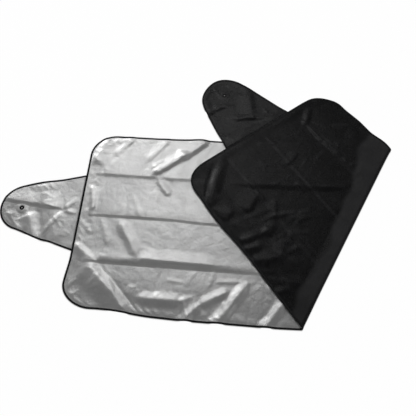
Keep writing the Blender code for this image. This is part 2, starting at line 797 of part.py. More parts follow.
def make_eyelet(side, word, collection, material):
    bore = EYELET_HOLE / 2
    barrel = bore + EYELET_WALL
    rim = EYELET_FLANGE / 2
    top = TAPE_INSIDE
    back = TAPE_INSIDE
    washer = 0.8 * FLANGE_THICKNESS
    profile = (
        (bore, top + FLANGE_THICKNESS * 0.6),
        (bore + 0.0008, top + FLANGE_THICKNESS),
        (rim - 0.0012, top + FLANGE_THICKNESS),
        (rim, top + FLANGE_THICKNESS * 0.4),
        (rim, top),
        (barrel, top),
        (barrel, -back - washer),
        (bore, -back - washer),
    )
    turned_piece(word + "_eyelet", profile, side, collection, material)
    ring = (
        (barrel + GAP, -back),
        (rim, -back),
        (rim, -back - washer * 0.6),
        (rim - 0.001, -back - washer),
        (barrel + GAP, -back - washer),
    )
    turned_piece(word + "_eyelet_washer", ring, side, collection, material)


def principled(name, color, roughness, metallic):
    material = bpy.data.materials.new(name)
    material.use_nodes = True
    shader = material.node_tree.nodes["Principled BSDF"]
    shader.inputs["Base Color"].default_value = color
    shader.inputs["Roughness"].default_value = roughness
    shader.inputs["Metallic"].default_value = metallic
    material.diffuse_color = color
    return material


def stand_on_origin(collection):
    """Hangs every piece on one empty that puts the origin below the shade's middle."""
    bpy.context.view_layer.update()
    graph = bpy.context.evaluated_depsgraph_get()
    corners = []
    for piece in collection.objects:
        shape = piece.evaluated_get(graph)
        corners += [piece.matrix_world @ vert.co for vert in shape.data.vertices]
    corners = np.array([tuple(corner) for corner in corners])
    low, high = corners.min(axis=0), corners.max(axis=0)
    root = bpy.data.objects.new("sun_shade_origin", None)
    root.location = (-(low[0] + high[0]) / 2, -(low[1] + high[1]) / 2, -low[2])
    for piece in list(collection.objects):
        piece.parent = root
    collection.objects.link(root)


def main():
    for old in list(bpy.data.objects):
        bpy.data.objects.remove(old)
    collection = bpy.data.collections.new("windshield_sun_shade")
    bpy.context.scene.collection.children.link(collection)
    black_side = principled("black side of the cloth", BLACK, 0.62, 0.0)
    names = ("panel", "left ear", "right ear")
    cloths = [[principled(n + " silver side", SILVER, 0.42, 0.55), black_side] for n in names]
    tapes = [principled(n + " binding tape", BLACK, 0.7, 0.0) for n in names]
    eyelets = [principled(n + " eyelet", BLACK, 0.35, 0.0) for n in names[1:]]
    make_panel(collection, cloths[0], tapes[0])
    make_ear(-1, "left", collection, cloths[1], tapes[1])
    make_ear(1, "right", collection, cloths[2], tapes[2])
    make_eyelet(-1, "left", collection, eyelets[0])
    make_eyelet(1, "right", collection, eyelets[1])
    stand_on_origin(collection)


main()
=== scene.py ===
"""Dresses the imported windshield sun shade: creased silver coated cloth with a black
back, black binding tape with its stitches, and the two eyelets, on a pale floor."""

from collections import Counter
from math import asin, atan2, cos, hypot, pi, radians, sin, tan

import bmesh
import bpy
import numpy as np
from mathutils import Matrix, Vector


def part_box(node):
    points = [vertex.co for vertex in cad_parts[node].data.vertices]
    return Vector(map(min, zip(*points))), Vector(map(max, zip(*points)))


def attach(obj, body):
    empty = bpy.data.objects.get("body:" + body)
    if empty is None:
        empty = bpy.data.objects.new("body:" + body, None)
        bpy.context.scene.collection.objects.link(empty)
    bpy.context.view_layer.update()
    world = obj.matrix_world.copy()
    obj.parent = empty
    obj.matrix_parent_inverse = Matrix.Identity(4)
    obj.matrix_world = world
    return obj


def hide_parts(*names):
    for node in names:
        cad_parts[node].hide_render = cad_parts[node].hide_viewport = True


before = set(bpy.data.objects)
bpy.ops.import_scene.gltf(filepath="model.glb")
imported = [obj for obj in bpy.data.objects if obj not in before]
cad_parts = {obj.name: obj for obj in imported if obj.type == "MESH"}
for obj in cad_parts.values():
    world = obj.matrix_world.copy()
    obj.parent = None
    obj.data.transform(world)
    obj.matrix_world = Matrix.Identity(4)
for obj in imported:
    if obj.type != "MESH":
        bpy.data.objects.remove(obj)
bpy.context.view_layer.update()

# the flat panel
BODY_LENGTH = 1.5
BODY_WIDTH = 0.7
CORNER_RADIUS = 0.1
# the two ears
EAR_BASE = 0.3
EAR_LENGTH = 0.286
EAR_TIP_RADIUS = 0.088
LEFT_EAR_V = 0.011
RIGHT_EAR_V = -0.004
# cloth and binding tape
CLOTH = 0.0005
TAPE = 0.0004
TAPE_WIDTH = 0.0068
GAP = 0.0003
# eyelets
EYELET_FROM_TIP = 0.078
EYELET_HOLE = 0.0055
EYELET_FLANGE = 0.017
EYELET_WALL = 0.0009
FLANGE_THICKNESS = 0.0009
# the fold
FOLD_U = 0.043
FOLD_ANGLE = radians(64.72)
ROLL_RADIUS = 0.005
FOLD_STRIP = 0.055
# how the cloth lies
FLAP_CLEARANCE = 0.0009
FLAP_LOFT = 0.005
DROP_START = 0.004
DROP_WIDTH = 0.045
SETTLE_WIDTH = 0.03
EAR_BLEND = 0.045
EYELET_LIFT = 0.0015
# a ridge tapers over this share of its length at each end, to this share of its width
RIDGE_END = 0.22
RIDGE_END_WIDTH = 0.35
# how far to each side the points lie that give the cloth's slope
SLOPE_STEP = 0.0012

# the tables below are in millimetres of a shade of this size
UNIT = BODY_LENGTH / 1500

# heights across the silver side, each as (share of half the width, height); the
# packing folds run along the panel at no share and half a share
SILVER_SECTION = (
    (-1.0, 0.0), (-0.72, 3.0), (-0.5, 0.0), (-0.455, 5.0), (-0.385, 2.6),
    (-0.30, 1.4), (0.0, 0.0), (0.035, 2.9), (0.20, 1.4), (0.465, 0.8),
    (0.5, 4.4), (0.70, 2.2), (1.0, 0.0),
)

# heights across the flap, in the same shares of the pattern's width
FLAP_SECTION = (
    (-1.0, 0.0), (-0.70, 3.0), (-0.5, 0.0), (-0.32, 2.6), (0.0, 0.4),
    (0.25, 2.8), (0.5, 0.0), (0.70, 3.2), (1.0, 0.0),
)

# ridges of the part that lies silver side up: start, end, height, and how far the
# left and right flanks reach, from the middle of the panel
SILVER_RIDGES = (
    # the deep fold across the lower left corner
    (-718, -150, -505, -372, 8.0, 30, 64),
    (-756, -104, -640, -188, 4.0, 20, 24),
    # crumpled folds along the near edge
    (-512, -288, -340, -283, 6.0, 26, 32),
    (-350, -262, -318, -372, 4.5, 20, 20),
    # slanting folds that gather toward the start of the flap
    (-372, -386, -284, -284, 6.0, 24, 22),
    (-300, -298, -188, -236, 5.5, 24, 22),
    (-262, -392, -125, -196, 8.0, 30, 26),
    (-100, -388, 0, -248, 6.0, 26, 24),
    # the bent ridge between the middle and the lower packing fold
    (-606, -4, -512, -152, 4.5, 30, 26),
    # the swell along the lower packing fold
    (-540, -150, -214, -158, 3.4, 44, 10),
    # ripples down from the far edge
    (-302, 354, -412, 250, 7.0, 21, 58),
    (-372, 292, -512, 176, 7.0, 21, 40),
    (-490, 174, -430, 92, 4.0, 24, 17),
    (-452, 356, -542, 224, 3.4, 16, 30),
    (-588, 354, -664, 250, 3.2, 18, 28),
    (-736, 200, -692, 342, 6.0, 16, 52),
    # small creases by the left ear
    (-722, 132, -701, 6, 4.0, 15, 15),
)

# ridges of the part that lies black side up, by where they lie on the floor
FLAP_RIDGES = (
    (-236, 170, 236, 184, 3.4, 40, 26),
    (-252, 300, -284, 60, 5.0, 34, 20),
    (-148, 176, -88, 96, 3.4, 20, 18),
    (-48, 0, -170, -66, 4.5, 17, 22),
    (-162, -98, -82, -60, 3.5, 18, 14),
    (-132, -134, -12, -108, 4.5, 24, 17),
    (-48, -238, 14, -212, 3.0, 16, 16),
    (-4, 6, 102, -112, 3.4, 18, 26),
    (62, 458, 208, 296, 3.4, 18, 26),
    (78, 550, 56, 436, 4.0, 20, 18),
)

# ridges of the left and the right ear, by where they lie on the floor
EAR_RIDGES = {-1: (
    (-1054, 46, -796, 18, 4.6, 58, 12),
    (-802, 12, -738, 2, 3.0, 14, 14),
    (-802, 14, -876, -98, 3.0, 12, 14),
    (-806, 14, -756, 72, 3.0, 14, 14),
    (-937, 6, -877, -132, 5.2, 40, 40),
    (-900, 142, -802, -138, 3.8, 100, 52),
    (-886, 6, -828, -132, 1.5, 60, 16),
    (-1006, 6, -938, -104, 2.2, 30, 26),
), 1: (
    (-170, 604, -142, 452, 4.6, 22, 56),
    (-250, 456, -30, 478, 4.0, 22, 17),
    (-258, 526, -330, 460, 4.0, 18, 18),
)}

# where the folds draw the cloth aside over the floor: x, y, by x, by y, radius
DRIFT = (
    (-60, -351, 0, -6, 240), (-300, -351, 0, -5, 220), (-630, -351, 1, 13, 190),
    (-750, -265, -8, -1, 110), (-925, 109, -2, 6, 110), (-885, -99, 0, -5, 70),
    (-640, 350, 0, -9, 190), (-470, 350, 0, -6, 150), (-330, 500, -18, -9, 140),
    (-280, 395, -7, -4, 90), (-235, 642, -1, -6, 90), (-245, 565, -3, -2, 90),
    (155, 590, -3, -13, 125), (230, 535, -5, -5, 80), (355, 380, 6, 7, 80),
    (-255, 30, -7, -6, 170), (-355, 165, -11, 1, 85),
)

HALF_LENGTH = BODY_LENGTH / 2
HALF_WIDTH = BODY_WIDTH / 2
TAPE_INSIDE = CLOTH / 2 + GAP
TAPE_OUTSIDE = TAPE_INSIDE + TAPE
CLOTH_EDGE = TAPE + GAP
SEAM_STRIP = TAPE_WIDTH + 0.0008
LEVEL_STRIP = SEAM_STRIP + 0.0012
STACK = 2 * TAPE_OUTSIDE + GAP + FLAP_CLEARANCE
# the cloth is flat this far round an eyelet's middle, and folds again beyond
EYELET_PLATE = 0.0105
EYELET_FADE = 0.012

FOLD_ORIGIN = np.array([FOLD_U, -HALF_WIDTH])
ALONG = np.array([cos(FOLD_ANGLE), sin(FOLD_ANGLE)])
ACROSS = np.array([sin(FOLD_ANGLE), -cos(FOLD_ANGLE)])
# the near edge of the panel, turned over, is the flap's left edge
EDGE_IN = np.array([sin(2 * FOLD_ANGLE), -cos(2 * FOLD_ANGLE)])
ROLL_LENGTH = pi * ROLL_RADIUS

# centres of the panel's rounded corners
CORNER_U = HALF_LENGTH - CORNER_RADIUS
CORNER_V = HALF_WIDTH - CORNER_RADIUS
# the ears' outline: base line, centre of the tip's round, lean of the straight edges
EAR_START = HALF_LENGTH + GAP
EAR_CENTRE = EAR_LENGTH - EAR_TIP_RADIUS
EAR_TAPER = atan2(EAR_BASE / 2, EAR_CENTRE) - asin(
    EAR_TIP_RADIUS / hypot(EAR_CENTRE, EAR_BASE / 2)
)


def smooth(x):
    """An even step from nought to one."""
    x = np.clip(x, 0.0, 1.0)
    return x * x * (3.0 - 2.0 * x)


def ridge_sum(x, y, ridges):
    """Height of a set of ridges, highest along their lines and tapering to their ends."""
    total = np.zeros_like(x)
    for x0, y0, x1, y1, high, left, right in ridges:
        run = np.array([x1 - x0, y1 - y0]) * UNIT
        length = hypot(*run)
        run = run / length
        from_x, from_y = x - x0 * UNIT, y - y0 * UNIT
        t = (from_x * run[0] + from_y * run[1]) / length
        ends = smooth(t / RIDGE_END) * smooth((1.0 - t) / RIDGE_END)
        q = from_x * run[1] - from_y * run[0]
        reach = np.where(q > 0, right, left) * UNIT
        reach = reach * (RIDGE_END_WIDTH + (1 - RIDGE_END_WIDTH) * ends)
        near = np.clip(1.0 - np.abs(q) / reach, 0.0, 1.0)
        shape = 0.5 * near + 0.5 * near * near * (3.0 - 2.0 * near)
        total = total + high * UNIT * shape * ends
    return total


def ear_middle(side):
    """The v of an ear's middle; side is minus one for the left ear."""
    return LEFT_EAR_V if side < 0 else RIGHT_EAR_V


def eyelet_at(side):
    """An eyelet's centre in the pattern."""
    return side * (EAR_START + EAR_LENGTH - EYELET_FROM_TIP), ear_middle(side)


def eyelet_below(side):
    """The same on the floor, as arrays of one."""
    return flat_place(*(np.array([value]) for value in eyelet_at(side)))


def panel_depth(u, v):
    """How far pattern points are inside the panel's outline, and the way out of it."""
    qx, qy = np.abs(u) - CORNER_U, np.abs(v) - CORNER_V
    ox, oy = np.maximum(qx, 0.0), np.maximum(qy, 0.0)
    out = np.maximum(np.hypot(ox, oy), 1e-9)
    depth = CORNER_RADIUS - np.where(np.maximum(qx, qy) > 0, out, np.maximum(qx, qy))
    return depth, ox, oy, out


def on_panel_line(u, v):
    """Points of the panel's bound edge moved in to where the tape ends, and their depth."""
    depth, ox, oy, out = panel_depth(u, v)
    move = np.maximum(LEVEL_STRIP - depth, 0.0)
    moved_u = u - np.sign(u) * ox / out * move
    return moved_u, v - np.sign(v) * oy / out * move, np.maximum(depth, LEVEL_STRIP)


def on_ear_line(u, v):
    """The same for the bound edges of the ears, with the depth from base and edges."""
    side = np.sign(u)
    along, off = np.abs(u) - HALF_LENGTH - GAP, v - np.where(u < 0, LEFT_EAR_V, RIGHT_EAR_V)
    tip = np.arctan2(np.abs(off), along - EAR_CENTRE) < pi / 2 - EAR_TAPER
    far = np.maximum(np.hypot(along - EAR_CENTRE, off), 1e-9)
    nx = np.where(tip, (along - EAR_CENTRE) / far, sin(EAR_TAPER))
    ny = np.where(tip, off / far, cos(EAR_TAPER) * np.sign(off))
    by_side = (EAR_BASE / 2 - np.abs(off)) * cos(EAR_TAPER)
    by_side = by_side - along * sin(EAR_TAPER)
    depth = np.where(tip, EAR_TIP_RADIUS - far, by_side)
    move = np.maximum(LEVEL_STRIP - depth, 0.0)
    depth = np.maximum(depth, LEVEL_STRIP)
    return u - side * nx * move, v - ny * move, depth


def settle(depth):
    """How far the cloth sinks inside its thicker bound edge, until it meets the floor."""
    return (TAPE_OUTSIDE - CLOTH / 2) * smooth((depth - LEVEL_STRIP) / SETTLE_WIDTH)


def into_flap(x, y):
    """How far a floor point is inside the flap's left edge, the panel's near edge."""
    return (x - FOLD_ORIGIN[0]) * EDGE_IN[0] + (y - FOLD_ORIGIN[1]) * EDGE_IN[1]


def below_flap(x, y):
    """How far a floor point is inside the outline of the flap that lies over it."""
    turned = ROLL_LENGTH - 2 * fold_side(x, y)
    return panel_depth(x + turned * ACROSS[0], y + turned * ACROSS[1])[0]


def panel_folds(x, y):
    """Folds of the panel where it lies silver side up."""
    # the flap's short edge lies closer to the silver side than its long edge
    closer = 45 * smooth((into_flap(x, y) / UNIT - 40) / 60)
    uncovered = 1.0 - smooth((below_flap(x, y) / UNIT + closer) / 55)
    a, b = x / UNIT / 1000, y / UNIT / 1000
    swell = 1.0 + 0.22 * np.sin(9.0 * a + 3.0 * b) + 0.12 * np.sin(21.0 * a - 8.0 * b)
    from_end = (x + HALF_LENGTH) / UNIT
    folds = section(y, SILVER_SECTION) * swell * smooth(from_end / 90)
    ridges = ridge_sum(x, y, SILVER_RIDGES) * np.clip(from_end / 20, 0, 1)
    return (folds + ridges) * uncovered


def ear_folds(x, y, side, folds):
    """Folds of an ear made flat, and lifted a little, around its eyelet."""
    x0, y0 = eyelet_below(side)
    level = max(ridge_sum(x0, y0, EAR_RIDGES[side])[0], EYELET_LIFT)
    off = np.hypot(x - x0, y - y0)
    return level + (folds - level) * smooth((off - EYELET_PLATE) / EYELET_FADE)


def rest_height(x, y):
    """What the turned over cloth lies on: the panel's silver side, then the floor."""
    over_body = 1.0 - smooth((y - HALF_WIDTH - DROP_START) / DROP_WIDTH)
    loft = FLAP_LOFT * (1.0 - smooth((into_flap(x, y) / UNIT - 60) / 50))
    return TAPE_OUTSIDE + (STACK + loft) * over_body


def height(s, x, y, depth, folds):
    """Middle of the cloth above the floor; s is how far a point is past the fold."""
    flat = TAPE_OUTSIDE - settle(depth) + np.where(s > 0, 0.0, folds)
    strip = FOLD_STRIP * (1.0 + 0.6 * smooth((y / UNIT - 100) / 300))
    past = np.maximum(s - ROLL_LENGTH, 0.0)
    climb = 1.0 - np.clip(past / strip, 0.0, 1.0)
    top = TAPE_OUTSIDE + 2 * ROLL_RADIUS
    dropped = smooth((y - HALF_WIDTH - DROP_WIDTH) / (30 * UNIT))
    rest = rest_height(x, y) - settle(depth) * dropped
    over = rest + (top - rest) * climb + folds * smooth(past / strip)
    turn = np.clip(s / ROLL_RADIUS, 0.0, pi)
    rolled = flat + (top - flat) * 0.5 * (1.0 - np.cos(turn))
    return np.where(s > ROLL_LENGTH, over, rolled)


def flap_folds(x, y, v):
    """Folds of the panel where it is turned over."""
    return section(v, FLAP_SECTION) + ridge_sum(x, y, FLAP_RIDGES)


def fold_side(u, v):
    """How far a pattern point is past the fold line, to the right of it."""
    return (u - FOLD_ORIGIN[0]) * ACROSS[0] + (v - FOLD_ORIGIN[1]) * ACROSS[1]


def flat_place(u, v):
    """Where pattern points lie on the floor, seen from above."""
    s = fold_side(u, v)
    turn = np.clip(s / ROLL_RADIUS, 0.0, pi)
    now = np.where(s > ROLL_LENGTH, ROLL_LENGTH - s, ROLL_RADIUS * np.sin(turn))
    now = np.where(s > 0, now, s)
    return u + (now - s) * ACROSS[0], v + (now - s) * ACROSS[1]


def drift(x, y):
    """How far the folds draw the cloth aside, over the floor."""
    dx, dy = np.zeros_like(x), np.zeros_like(x)
    for x0, y0, by_x, by_y, radius in DRIFT:
        off = np.hypot(x - x0 * UNIT, y - y0 * UNIT) / (radius * UNIT)
        near = smooth(1.0 - off) * UNIT
        dx = dx + by_x * near
        dy = dy + by_y * near
    return dx, dy


def surface(u, v):
    """The middle of the cloth as it lies."""
    s = fold_side(u, v)
    x, y = flat_place(u, v)
    edge = np.clip(u, -HALF_LENGTH, HALF_LENGTH)
    panel = panel_height(s - (u - edge) * ACROSS[0], edge, v)
    ear = ear_height(s, u, v)
    away = smooth((np.abs(u) - HALF_LENGTH - GAP) / EAR_BLEND)
    dx, dy = drift(x, y)
    return np.stack([x + dx, y + dy, panel + (ear - panel) * away], axis=-1)


def place(points):
    """Pattern points (u, v, w) carried to the shade as it lies."""
    points = np.asarray(points, float)
    u, v, w = points[:, 0], points[:, 1], points[:, 2]
    du = surface(u + SLOPE_STEP, v) - surface(u - SLOPE_STEP, v)
    dv = surface(u, v + SLOPE_STEP) - surface(u, v - SLOPE_STEP)
    normal = np.cross(du, dv)
    normal = normal / np.linalg.norm(normal, axis=1)[:, None]
    return surface(u, v) + normal * w[:, None]


# fine creases, on top of the folds that the solids have

# small creases fade out at the bound edge, and lie no lower than this
CREASE_FADE = 0.012
LOWEST_CREASE = -0.0015
LOWEST_GROOVE = -0.0028
# puckers of the sewing: heights, start, end and waves
SILVER_PUCKER = 0.0012
BLACK_PUCKER = 0.0008
PUCKER_START = 0.008
PUCKER_FULL = 0.016
PUCKER_FADE = 0.028
PUCKER_WAVES = (190.0, 31.0, 23.0)
# the pressed lip beside a packing fold
LIP_HEIGHT = 0.0011
LIP_HALF = 0.006
LIP_FADE = 0.03
FLAP_LIP = 0.8
# where the fine creases end, at the right ear and at the flap
END_FADE = 0.07
FLAP_FADE = 0.055
# the panel's right end rises over its ear's seam
END_RISE = 0.0036
END_RISE_START = 0.055
END_RISE_LENGTH = 0.05
# the curl of the right ear's tip
CURL = 0.0022
CURL_START = 0.13
CURL_LENGTH = 0.08
CURL_WIDTH = 0.026
# the edges and packing folds, which stay sharp, in shares of half the width
PACKED = (-1.0, -0.5, 0.0, 0.5, 1.0)


def softened(table):
    """A section's table with each corner cut off at a quarter of its sides, three times
    over, apart from the packing folds."""
    rows = [(HALF_WIDTH * share, high * UNIT, share in PACKED) for share, high in table]
    for _ in range(3):
        cut = rows[:1]
        for (v0, h0, sharp), (v1, h1, next_sharp) in zip(rows, rows[1:]):
            if not sharp:
                cut.append((v0 * 0.75 + v1 * 0.25, h0 * 0.75 + h1 * 0.25, False))
            if not next_sharp:
                cut.append((v0 * 0.25 + v1 * 0.75, h0 * 0.25 + h1 * 0.75, False))
            else:
                cut.append((v1, h1, True))
        rows = cut
    return [row[0] for row in rows], [row[1] for row in rows]


def section(v, table):
    """Height of a section's table across the pattern."""
    shares, heights = SOFT_SECTIONS[id(table)]
    return np.interp(v, shares, heights)


SOFT_SECTIONS = {id(t): softened(t) for t in (SILVER_SECTION, FLAP_SECTION)}


def strewn(*sets):
    """Small creases of sets: seed, count, area, lean, length, height, halves of width."""
    rows = []
    for seed, count, ((x0, y0), (x1, y1)), lean, length, high, half in sets:
        rng = np.random.default_rng(seed)
        for _ in range(count):
            x, y = rng.uniform(x0, x1), rng.uniform(y0, y1)
            angle = rng.normal(*lean)
            run = rng.uniform(*length) / 2
            dx, dy = run * cos(angle), run * sin(angle)
            up = rng.uniform(*high) * (1 if rng.random() < 0.7 else -0.6)
            rows.append((x - dx, y - dy, x + dx, y + dy, up, *rng.uniform(*half, 2)))
    return rows


SILVER_CREASES = [(-700, -122, -484, -348, -1.2, 7, 7)] + strewn(
    (3, 34, ((-740, -340), (0, 340)), (1.9, 0.5), (60, 150), (0.4, 1.3), (9, 20)),
    (5, 26, ((-740, -340), (60, -190)), (0.9, 0.5), (40, 120), (0.5, 1.6), (7, 16)),
    (7, 22, ((-740, 190), (-180, 345)), (0.85, 0.35), (50, 140), (0.5, 1.7), (7, 16)),
    (9, 22, ((-745, -200), (-680, 240)), (1.5, 0.6), (20, 60), (0.4, 1.2), (6, 12)),
)
# the larger ones seen on the black side: grooves, then patches lit on their left flank
FLAP_SHAPES = [
    (-282, 256, -302, 84, -3.6, 11, 11),
    (-352, 178, -286, 168, -1.6, 9, 12),
    (50, 462, 112, 378, -2.2, 9, 12),
    (100, 392, 212, 292, -3.0, 12, 22),
    (-154, 176, -92, 100, -2.4, 8, 12),
    (6, -6, 104, -114, -3.0, 12, 22),
    (-152, 48, -108, 142, 4.2, 62, 18),
    (-222, 14, -192, 72, 3.0, 44, 14),
    (-170, -92, -84, -74, 3.0, 10, 20),
    (-24, -128, -14, -52, 3.6, 60, 14),
    (-90, -30, -46, 26, 3.0, 20, 26),
    (-40, -196, 66, -190, 2.2, 22, 26),
    (-52, 118, -44, 30, 2.6, 12, 26),
    (-14, 256, 34, 322, 2.0, 26, 14),
    (20, 196, 66, 150, 2.4, 14, 10),
]
FLAP_CREASES = strewn(
    (11, 60, ((-320, -300), (400, 640)), (0.1, 0.5), (50, 140), (0.5, 1.4), (8, 18)),
    (13, 36, ((-200, -180), (60, 60)), (0.2, 0.3), (40, 110), (0.6, 1.6), (7, 14)),
    (15, 22, ((-120, 180), (260, 420)), (0.9, 0.6), (30, 80), (0.4, 1.1), (6, 12)),
)
LEFT_EAR_CREASES = strewn(
    (17, 24, ((-1030, -130), (-755, 150)), (0.4, 0.8), (30, 80), (0.3, 1.0), (7, 13))
)
RIGHT_EAR_CREASES = strewn(
    (19, 24, ((-330, 310), (-10, 640)), (0.2, 0.7), (30, 90), (0.6, 2.0), (6, 12))
)


def crumple(x, y, creases, depth):
    """Small creases, gone at the bound edge."""
    inside = smooth((depth - LEVEL_STRIP) / CREASE_FADE)
    return np.maximum(ridge_sum(x, y, creases), LOWEST_CREASE) * inside


def puckers(along, depth, high):
    """The short gathers that the binding's stitching pulls into the cloth."""
    near = smooth((depth - LEVEL_STRIP) / PUCKER_START)
    near = near * (1 - smooth((depth - PUCKER_FULL) / PUCKER_FADE))
    short, middling, long = PUCKER_WAVES
    beat = np.sin(along * short + 1.7 * np.sin(along * middling))
    swell = 0.5 + 0.5 * np.sin(along * long + 1.1)
    return high * near * swell * (0.5 + 0.5 * beat)


def pressed(v, depth):
    """The pressed lip beside each packing fold."""
    lip = np.zeros_like(v)
    for share, side in ((-0.5, 1), (0.0, 1), (0.5, -1)):
        off = (v - share * HALF_WIDTH) * side
        lip = lip + LIP_HEIGHT * np.clip(1 - np.abs(off - LIP_HALF) / LIP_HALF, 0, 1)
    return lip * smooth((depth - LIP_FADE) / LIP_FADE)


def panel_height(s, u, v):
    """Middle of the panel's cloth above the floor, with its fine creases."""
    u, v, depth = on_panel_line(u, v)
    x, y = flat_place(u, v)
    ends = smooth((HALF_LENGTH - u) / END_FADE)
    inside = smooth((depth - LEVEL_STRIP) / CREASE_FADE)
    turned = flap_folds(x, y, v) + ridge_sum(x, y, FLAP_SHAPES) * inside
    turned = (np.maximum(turned, LOWEST_GROOVE) + crumple(x, y, FLAP_CREASES, depth)) * ends
    turned = turned + pressed(v, depth) * FLAP_LIP + puckers(u + v, depth, BLACK_PUCKER)
    end = smooth((u - HALF_LENGTH + END_RISE_START) / END_RISE_LENGTH)
    turned = turned + END_RISE * end
    fine = crumple(x, y, SILVER_CREASES, depth) + pressed(v, depth)
    fine = fine + puckers(u + v, depth, SILVER_PUCKER)
    fine = fine * (1 - smooth(into_flap(x, y) / FLAP_FADE))
    flat = height(s, x, y, depth, np.where(s > 0, turned, panel_folds(x, y) + fine))
    return np.maximum(flat, TAPE_OUTSIDE - settle(depth))


def ear_height(s, u, v):
    """Middle of an ear's cloth above the floor, with its fine creases."""
    u, v, depth = on_ear_line(u, v)
    x, y = flat_place(u, v)
    left = ear_folds(x, y, -1, ridge_sum(x, y, EAR_RIDGES[-1]))
    left = left + crumple(x, y, LEFT_EAR_CREASES, depth)
    right = ear_folds(x, y, 1, ridge_sum(x, y, EAR_RIDGES[1]))
    right = right + crumple(x, y, RIGHT_EAR_CREASES, depth)
    tip = smooth((u - HALF_LENGTH - CURL_START) / CURL_LENGTH)
    right = right + CURL * tip * (1 - smooth((depth - LEVEL_STRIP) / CURL_WIDTH))
    folds = np.where(u < 0, left, right) + puckers(u + v, depth, BLACK_PUCKER)
    for side in (-1, 1):
        folds = np.where(np.sign(u) == side, ear_folds(x, y, side, folds), folds)
    flat = height(s, x, y, depth, folds)
    return np.maximum(flat, TAPE_OUTSIDE - settle(depth))


# meshes

# rows of the panel's cloth and stations of the tapes, finer round the fold
ROW_STEP = 0.005
FOLD_STEP = 0.0011
FOLD_MARGIN = 0.012
WRAP_TURN = 0.010
WRAP_AFTER = 0.002
CORNER_STEPS = 26
# columns of the panel's cloth: silver side, beside the roll, roll, beside it, flap
PANEL_COLUMNS = (166, 4, 12, 4, 92)
EAR_ROW_STEP = 0.0045
EAR_COLUMNS = 65
TIP_ROWS = 31
TIP_STATIONS = 47
# the last row at an ear's tip, in shares of its radius: along and across
TIP_END = (0.9998, 0.02)
# round an eyelet's middle: faces cut out, and where their rim is looked for
HOLE_CUT = 0.0055
HOLE_NEAR = 0.012

CAD_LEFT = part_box("left_ear_binding")[0]
CAD_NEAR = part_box("panel_binding")[0]
TIP = [(-HALF_LENGTH - GAP - EAR_LENGTH, LEFT_EAR_V, 0)]
NEAR_EDGE = [(u, -HALF_WIDTH, 0) for u in np.linspace(-CORNER_U, FOLD_U, 140)]
# from the pattern's place to the frame, by the left ear's tip and the near edge
SHIFT = np.array([
    CAD_LEFT[0] - place(TIP)[0, 0],
    CAD_NEAR[1] - place(NEAR_EDGE)[:, 1].min(),
    0.0,
])


def in_frame(points):
    """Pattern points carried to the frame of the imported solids."""
    return place(points) + SHIFT


def linked(name, data):
    """An object of some mesh, lamp or camera, in the scene."""
    obj = bpy.data.objects.new(name, data)
    bpy.context.scene.collection.objects.link(obj)
    return obj


def new_object(name, verts, faces):
    """An object of plain faces, all facing out."""
    mesh = bpy.data.meshes.new(name)
    mesh.from_pydata([tuple(p) for p in verts], [], [tuple(f) for f in faces])
    mesh.validate()
    bm = bmesh.new()
    bm.from_mesh(mesh)
    bmesh.ops.recalc_face_normals(bm, faces=bm.faces)
    bm.to_mesh(mesh)
    bm.free()
    mesh.shade_smooth()
    return linked(name, mesh)


def grid_faces(rows, columns):
    """Faces of a grid whose points come row by row."""
    first = [r * columns + c for r in range(rows - 1) for c in range(columns - 1)]
    return [(a, a + 1, a + columns + 1, a + columns) for a in first]


def cloth_object(name, flat, faces, materials):
    """An open sheet from pattern points, with the cloth's thickness and both sides."""
    flat = np.asarray(flat)
    points = in_frame(np.column_stack([flat, np.zeros(len(flat))]))
    mesh = bpy.data.meshes.new(name)
    mesh.from_pydata([tuple(p) for p in points], [], faces)
    uv = mesh.uv_layers.new(name="pattern")
    index = np.empty(len(mesh.loops), dtype=np.int32)
    mesh.loops.foreach_get("vertex_index", index)
    uv.data.foreach_set("uv", flat[index].astype(np.float32).ravel())
    # masks of the painted crease highlight, and of the painted highlight beside the fold,
    # which is also rougher
    for word, values in (("crease_highlight", crease_highlight(flat)), ("turn", beside_fold(flat))):
        painted_light_mask = mesh.attributes.new(word, "FLOAT", "POINT")
        painted_light_mask.data.foreach_set("value", values.astype(np.float32))
    for material in materials:
        mesh.materials.append(material)
    mesh.shade_smooth()
    obj = linked(name, mesh)
    shell = obj.modifiers.new("Cloth thickness", "SOLIDIFY")
    shell.thickness = CLOTH
    shell.offset = 0.0
    shell.material_offset = 1
    shell.material_offset_rim = 1
    return obj


# the painted crease highlight starts at this bend, in turns per metre, and is whole this
# much above it
HIGHLIGHT_BEND = (4.0, 40.0)


def crease_highlight(flat):
    """How sharply the cloth is creased at each point, from 0 to 1, for the painted crease
    highlight.
    """
    u, v = flat[:, 0], flat[:, 1]
    step = 0.0035
    middle = surface(u, v)[:, 2]
    ways = ((step, 0), (-step, 0), (0, step), (0, -step))
    around = [surface(u + a, v + b)[:, 2] for a, b in ways]
    bend = np.abs(sum(around) - 4 * middle) / step**2
    return np.clip((bend - HIGHLIGHT_BEND[0]) / HIGHLIGHT_BEND[1], 0.0, 1.0)


def beside_fold(flat):
    """One where the turned over cloth comes down from the fold, and zero elsewhere: where
    the black side has a painted highlight and is rougher.
    """
    u, v = flat[:, 0], flat[:, 1]
    x, y = flat_place(u, v)
    past = (fold_side(u, v) - ROLL_LENGTH) / UNIT
    # its width in millimetres grows toward the far end and wavers a little
    wide = 48 + 44 * smooth((y / UNIT - 60) / 260)
    wide = wide + 9 * np.sin(y * 21.0) + 5 * np.sin(y * 55.0 + 1.0)
    return smooth((past - 1) / 9) * (1 - smooth((past - wide + 10) / 20))


def fold_u(s, v):
    """The u of the point on row v that is s past the fold line."""
    return FOLD_U + (s + (v + HALF_WIDTH) * cos(FOLD_ANGLE)) / sin(FOLD_ANGLE)


